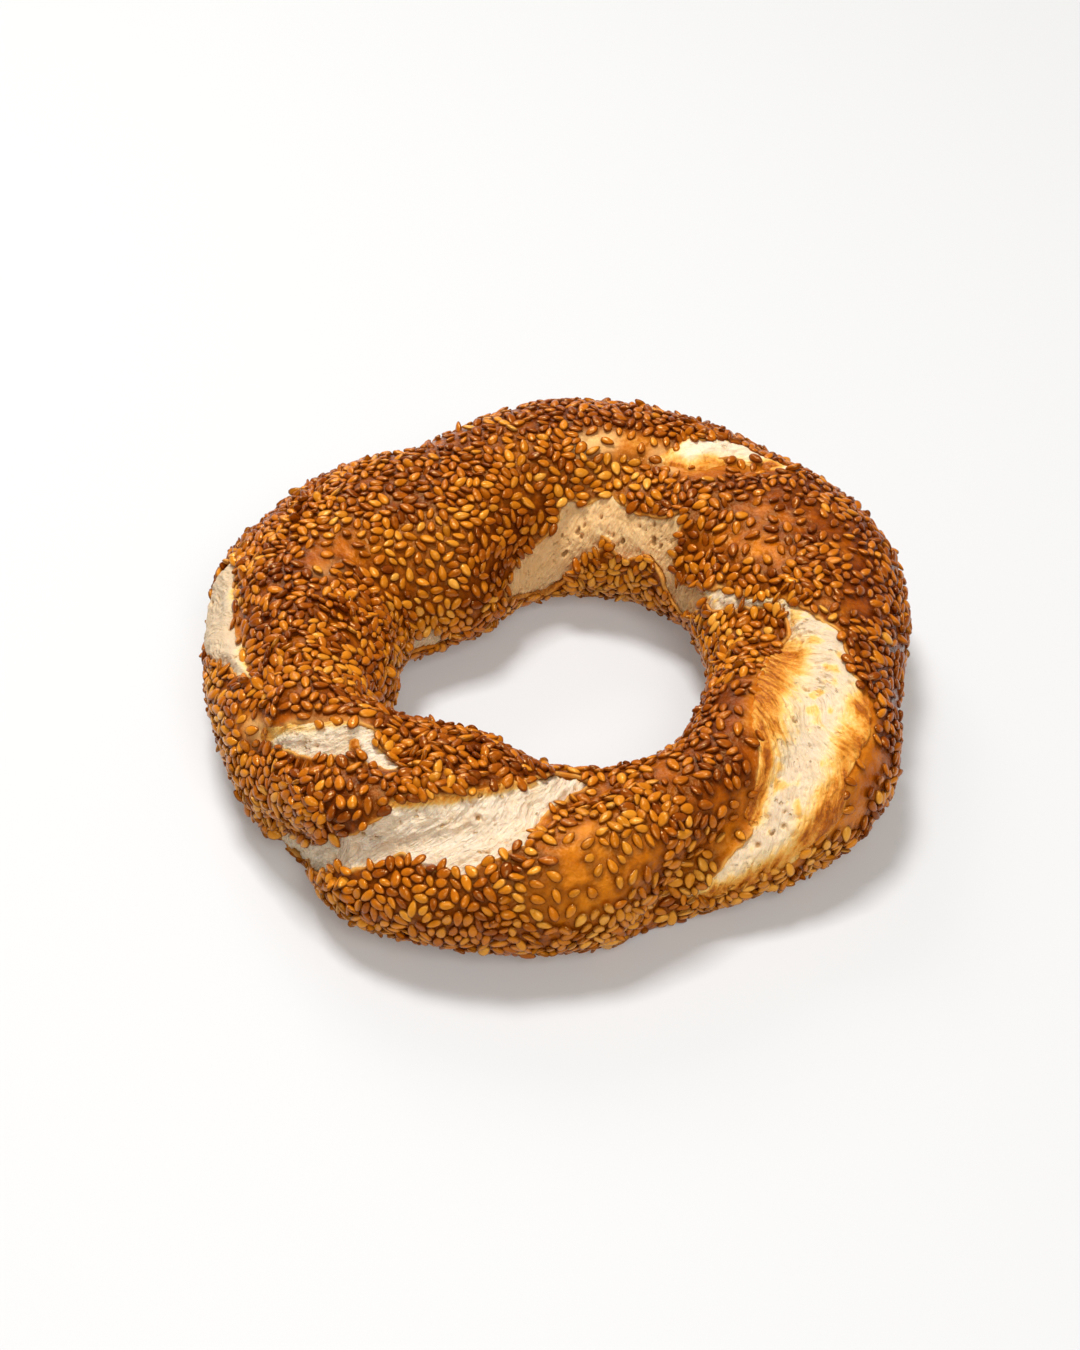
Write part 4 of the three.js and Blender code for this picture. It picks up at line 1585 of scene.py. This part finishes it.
# %% Colours of the crumb
WHITE = [(0.3, (0.81, 0.63, 0.42)), (0.5, (0.88, 0.735, 0.555)), (0.7, (0.92, 0.82, 0.68))]
STRAW = [(0.3, (0.72, 0.415, 0.153)), (0.5, (0.79, 0.49, 0.21)), (0.7, (0.85, 0.58, 0.285))]
# painted shade: a duller, darker cream that darkens a whole tear
TEAR_SHADE_COLOUR = (0.62, 0.47, 0.31)
# painted shade in the crumb's pits and dips, and darker still deep in its largest pores
HOLLOW_SHADE_COLOUR = (0.74, 0.45, 0.19)
DEEP_PORE_SHADE = (0.34, 0.16, 0.045)
CRUMB_TOAST = [
    (0.0, (0.93, 0.77, 0.50)), (0.2, (0.94, 0.66, 0.30)), (0.42, (0.88, 0.48, 0.11)),
    (0.68, (0.72, 0.27, 0.025)), (0.88, (0.50, 0.14, 0.006)), (1.0, (0.36, 0.085, 0.003))]
CRUMB_SHINE = (1, 0.85, 0.6, 1)
GLOW = (0.003, 0.0018, 0.001)  # metres that red, green and blue light go inside

# %% Threads, pits and bubbles of the crumb
DRAWN, DRAWN_LESS = (0.16, 1, 1), (0.55, 1, 1)  # along the strands, how much their grain shrinks
THREAD_GRAIN, WISP_GRAIN = (1500, 3, 0.6, 0.4), (700, 3, 0.6, 0.6)
CRUMB_BLOTCHES, CRUMB_SPECKS, PIT_GRAIN = (200,), (1500, 4), (330, 2)
PITS, BUBBLES, WOBBLES = 900, 480, 500  # to a metre
PIT_PLACES, PIT_RARITY = 0.64, 2.2  # noise at which pits are full size, how fast they close below
PIT_RAGS = 0.5
PIT_FROM, PIT_TO = 0.36, 0.1  # of a cell, from a pit's middle
WOBBLE = 0.0011  # metres
BUBBLE_WALL, BUBBLE_FULL = 0.02, 0.3  # of a cell, from its wall
BUBBLES_FROM, BUBBLES_TO = 0.35, 0.6  # noise between which bubbles come in
crumb_finish, bench, shader = new_finish("open_crumb")
where = own_place(bench)
toast_at, painted_hollow_shade_at, bold_at, tan_at, painted_tear_shade_at = own_values(
    bench, "toast", "hollow", "bold", "tan", "dim")
on_strands = bench.add("ShaderNodeUVMap", {"uv_map": "strands"})
drawn = vector_maths("MULTIPLY", on_strands, DRAWN)
drawn_less = vector_maths("MULTIPLY", on_strands, DRAWN_LESS)
thread = abs(grain(drawn, *THREAD_GRAIN) - MIDDLE_OF_NOISE) * 2
wisp = grain(drawn, *WISP_GRAIN)
blotch = grain(where, *CRUMB_BLOTCHES)
speck = grain(where, *CRUMB_SPECKS)
pit_here = grain(where, *PIT_GRAIN)
pits = bench.add("ShaderNodeTexVoronoi", {}, {"Vector": drawn_less, "Scale": PITS, "Randomness": 1})
from_pit = pits + (PIT_PLACES - pit_here) * PIT_RARITY + swing(speck, PIT_RAGS)
pit = smooth(from_pit, PIT_FROM, PIT_TO)
wobble = bench.add("ShaderNodeTexNoise", {}, {"Vector": where, "Scale": WOBBLES, "Detail": 3}, "Color")
bent = vector_maths("ADD", drawn_less, vector_maths("SCALE", wobble, WOBBLE))
walls_between = bench.add(
    "ShaderNodeTexVoronoi", {"feature": "DISTANCE_TO_EDGE"}, {"Vector": bent, "Scale": BUBBLES})
bubble = smooth(walls_between, BUBBLE_WALL, BUBBLE_FULL)
bubble = bubble * smooth(pit_here, BUBBLES_FROM, BUBBLES_TO)
print("nodes for the crumb's texture:", len(bench.tree.nodes))

# %% Colour of the crumb
HOLLOW_SHADE, BUBBLE_SHADE, PIT_SHADE, THREAD_SHADE = 0.5, 0.08, 0.7, 0.3
THREAD_VALLEY_SHADE_LEVEL = 0.3  # thread value below which the valleys between threads get painted shade; ridges above it get less
DEEP_FROM, DEEP_TO, DEEP_SHARE = 0.65, 1.1, 0.8
CREAM_BLOTCHES, CREAM_WISPS = 0.5, 0.5
EVEN_TOAST, WISPY_TOAST, BLOTCHY_TOAST = 0.55, 0.5, 0.25
FLECK_MIDDLE, FLECK_STRENGTH = 1.05, 0.7  # of wisps and specks together
TOAST_ONSET = 3  # how fast toasting hides the cream
cream_tone = blotch * CREAM_BLOTCHES + wisp * CREAM_WISPS
colour = mixed(tan_at, ramp(cream_tone, WHITE), ramp(cream_tone, STRAW))
# painted shade over whole tears
colour = mixed(painted_tear_shade_at, colour, TEAR_SHADE_COLOUR)
on_strand = pit * PIT_SHADE + (THREAD_VALLEY_SHADE_LEVEL - thread) * THREAD_SHADE
shade = painted_hollow_shade_at * HOLLOW_SHADE + bubble * BUBBLE_SHADE + on_strand * bold_at
colour = mixed(clamped(shade), colour, HOLLOW_SHADE_COLOUR)
# painted shade deep in the largest pores
deep = smooth(painted_hollow_shade_at, DEEP_FROM, DEEP_TO) * DEEP_SHARE
colour = mixed(deep, colour, DEEP_PORE_SHADE)
tone = toast_at * (EVEN_TOAST + WISPY_TOAST * wisp + BLOTCHY_TOAST * blotch)
tone = tone + (wisp + speck - FLECK_MIDDLE) * FLECK_STRENGTH * toast_at
colour = mixed(clamped(tone * TOAST_ONSET), colour, ramp(tone, CRUMB_TOAST))
print("nodes up to the crumb's colour:", len(bench.tree.nodes))

# %% Crumb finish
WISP_RELIEF, SPECK_RELIEF, PIT_RELIEF, BUBBLE_RELIEF = 1.2, 0.5, 1.8, 0.5  # beside a thread's 1
CRUMB_BUMP = 0.0005  # metres
MATT, TOAST_GLOSS = 0.65, 0.3  # roughness, and what toasting takes off
fine_relief = (thread + wisp * WISP_RELIEF + speck * SPECK_RELIEF - pit * PIT_RELIEF) * bold_at
fine_relief = fine_relief - bubble * BUBBLE_RELIEF
feed(bench, shader, Base_Color=colour, Roughness=MATT - TOAST_GLOSS * toast_at,
     Normal=bumped(fine_relief, CRUMB_BUMP), Specular_IOR_Level=0.3,
     Specular_Tint=CRUMB_SHINE, Subsurface_Weight=0.3, Subsurface_Radius=GLOW,
     Subsurface_Scale=0.5)
crumb.data.materials.append(crumb_finish)
print("nodes in the crumb's finish:", len(bench.tree.nodes))

# %% [markdown]
# ### The seeds
# Toasted sesame is golden brown and the glaze makes it shine. Each seed is darker along its rim:
# partly its own colour, and partly painted shade where its side turns down into the glaze. Thousands
# of seeds in one colour would look like plastic, and thousands of materials would be slow. Each seed
# has a square of its own on the UV map: white noise on the square's number gives the seed its tone,
# and the place inside the square tells how near the rim is. Four kinds, from pale to toasted, follow
# the browning of the crust under them.

# %% Seed finish
# the seeds' dark rim: partly their own colour, partly painted shade where they meet the glaze
SEED_RIM_AND_SHADE = (0.10, 0.011, 0.0004)
RIM_FROM, RIM_TO = 0.66, 0.98  # of the way from a seed's middle to its rim
RIM_DARK, RIM_SHARE = 0.85, 0.9  # how dark the rim's colour and painted shade are, and how much of it the rim takes
SQUARE_MIDDLE = (0.5, 0.5, 0)
SEED_SPECKS, SEED_BLOTCHES = (1400, 3), (500, 2)  # grains to a metre, layers of detail
SEED_TONE, TONE_START, SPECK_ON_SEED, BLOTCH_ON_SEED = 0.75, 0.125, 0.55, 0.5
SEED_GLOSS, SEED_GLOSS_BLOTCHES = 0.09, 0.2  # roughness, and what blotches add
SEED_BUMP, SEED_BUMP_STRENGTH = 0.0002, 0.6  # metres, share
SEED_SHINE = (1, 0.74, 0.30, 1)


def seed_finish(name, stops):
    """Glazed sesame, each seed in its own tone and darker towards its rim: partly its own colour,
    partly painted shade.
    """
    finish, bench, shader = new_finish(name)
    squares = vector_maths("SCALE", bench.add("ShaderNodeUVMap", {"uv_map": "OFBake"}), CELLS)
    corner = bench.add("ShaderNodeVectorMath", {"operation": "FLOOR"}, {0: squares})
    one_tone = bench.add("ShaderNodeTexWhiteNoise", {"noise_dimensions": "2D"}, {"Vector": corner})
    on_seed = vector_maths("SUBTRACT", squares, corner)
    on_seed = vector_maths("SUBTRACT", on_seed, SQUARE_MIDDLE)
    from_middle = bench.add("ShaderNodeVectorMath", {"operation": "LENGTH"}, {0: on_seed}, "Value")
    to_rim = from_middle / SPOT_SHARE
    where = own_place(bench)
    speck = grain(where, *SEED_SPECKS)
    blotch = grain(where, *SEED_BLOTCHES)
    tone = one_tone * SEED_TONE + swing(speck, SPECK_ON_SEED) + swing(blotch, BLOTCH_ON_SEED)
    colour = ramp(tone + TONE_START, stops)
    rim_and_shade_colour = mixed(RIM_DARK, colour, SEED_RIM_AND_SHADE)
    colour = mixed(smooth(to_rim, RIM_FROM, RIM_TO) * RIM_SHARE, colour, rim_and_shade_colour)
    feed(bench, shader, Base_Color=colour, Roughness=SEED_GLOSS + SEED_GLOSS_BLOTCHES * blotch,
         Normal=bumped(speck + blotch, SEED_BUMP, SEED_BUMP_STRENGTH),
         Specular_IOR_Level=0.5, Specular_Tint=SEED_SHINE)
    return finish


# %% Four kinds of seeds
SEED_KINDS = {
    "seeds_pale": [
        (0.1, (0.52, 0.165, 0.006)), (0.5, (0.67, 0.24, 0.015)), (0.9, (0.80, 0.36, 0.045))],
    "seeds_golden": [
        (0.1, (0.46, 0.125, 0.0025)), (0.5, (0.61, 0.183, 0.006)), (0.9, (0.73, 0.27, 0.018))],
    "seeds_amber": [
        (0.1, (0.35, 0.078, 0.0018)), (0.5, (0.51, 0.132, 0.0035)), (0.9, (0.68, 0.22, 0.009))],
    "seeds_toasted": [
        (0.1, (0.19, 0.032, 0.0008)), (0.5, (0.38, 0.083, 0.0018)), (0.9, (0.58, 0.158, 0.0045))],
}
kept = np.flatnonzero(keep)
kept = kept[np.argsort(seed_brown[kept])]
seed_pieces = [
    lay_seeds(name, numbers, seed_finish(name, stops))
    for (name, stops), numbers in zip(SEED_KINDS.items(), np.array_split(kept, len(SEED_KINDS)))]

# %% [markdown]
# ## Camera and studio
# A camera's place and lens can be found by eye, but a near camera shows the front of a ring larger
# than its back, and only the right distance gives the right amount of that. This one stands a
# little over half a metre away and looks down at the ring, through a lens of 72 mm where Blender
# starts with one of 50 mm.

# %% Camera
CAMERA_TILT = 51.8  # degrees from straight down
CAMERA_PLACE = np.array([-3.9, -433.0, 358.9])  # mm from the foot of the ring's axis
FOCAL_PIXELS, LONG_SIDE_PIXELS = 2693, 1350
SENSOR = 36  # mm
camera_data = bpy.data.cameras.new("camera")
camera_data.lens = FOCAL_PIXELS / LONG_SIDE_PIXELS * SENSOR
camera_data.sensor_width = SENSOR
camera = in_scene("camera", camera_data)
camera.location = Vector((CAMERA_PLACE + ring_shift) * MM)
camera.rotation_euler = (math.radians(CAMERA_TILT), 0, 0)
bpy.context.scene.camera = camera
print("lens:", round(camera_data.lens, 1), "mm on a", SENSOR, "mm sensor")

# %% [markdown]
# A pale floor under soft lamps shows bread best: hard light would turn every seed into a glint
# and a black shadow. One large lamp stands high and a little behind for the gloss on the seeds, a
# weaker one further back draws the upper rim, and a wide one in front fills the tears. The floor
# glows faintly, in place of the light that a pale room throws back. A warm world keeps the
# shadows brown.

# %% Floor
HALF_FLOOR = 4.0  # metres
FLOOR_COLOUR, FLOOR_ROUGHNESS = (0.49, 0.50, 0.51, 1), 0.6
FLOOR_GLOW, GLOW_STRENGTH = (1.0, 0.96, 0.92, 1), 0.18
FLOOR_CORNERS = [(-HALF_FLOOR, -HALF_FLOOR, 0), (HALF_FLOOR, -HALF_FLOOR, 0),
                 (HALF_FLOOR, HALF_FLOOR, 0), (-HALF_FLOOR, HALF_FLOOR, 0)]
floor_data = bpy.data.meshes.new("floor")
floor_data.from_pydata(FLOOR_CORNERS, [], [(0, 1, 2, 3)])
floor = in_scene("floor", floor_data)
floor_finish, bench, shader = new_finish("pale_floor")
feed(bench, shader, Base_Color=FLOOR_COLOUR, Roughness=FLOOR_ROUGHNESS,
     Emission_Color=FLOOR_GLOW, Emission_Strength=GLOW_STRENGTH)
floor_data.materials.append(floor_finish)
print("floor:", round(2 * HALF_FLOOR), "m wide")

# %% World and lamps
WORLD_COLOUR, WORLD_STRENGTH = (1.0, 0.89, 0.74, 1), 0.24
LAMPS = {  # place in metres, side in metres, watts
    "key": ((-0.2, 0.3, 1.32), 0.4, 18),
    "back": ((-0.4, 1.1, 0.8), 0.5, 4),
    "fill": ((0.3, -1.05, 1.15), 0.7, 11.5),
}
world = bpy.data.worlds.new("studio")
world.use_nodes = True
background = world.node_tree.nodes["Background"]
background.inputs["Color"].default_value = WORLD_COLOUR
background.inputs["Strength"].default_value = WORLD_STRENGTH
bpy.context.scene.world = world
bpy.context.scene.view_settings.view_transform = "Standard"
for name, (place, side_length, power) in LAMPS.items():
    lamp_data = bpy.data.lights.new(name, "AREA")
    lamp_data.shape = "SQUARE"
    lamp_data.size = side_length
    lamp_data.energy = power
    lamp = in_scene(name, lamp_data)
    lamp.location = place
    lamp.rotation_euler = (-Vector(place)).to_track_quat("-Z", "Y").to_euler()
print("lamps:", ", ".join(LAMPS))

# %% [markdown]
# ## Hand over
# The pieces ride on the loaf's one body, and the crust takes the plain solid's place.

# %% Hand over
for piece in (crust, crumb, *seed_pieces):
    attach(piece, "root")
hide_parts("simit")
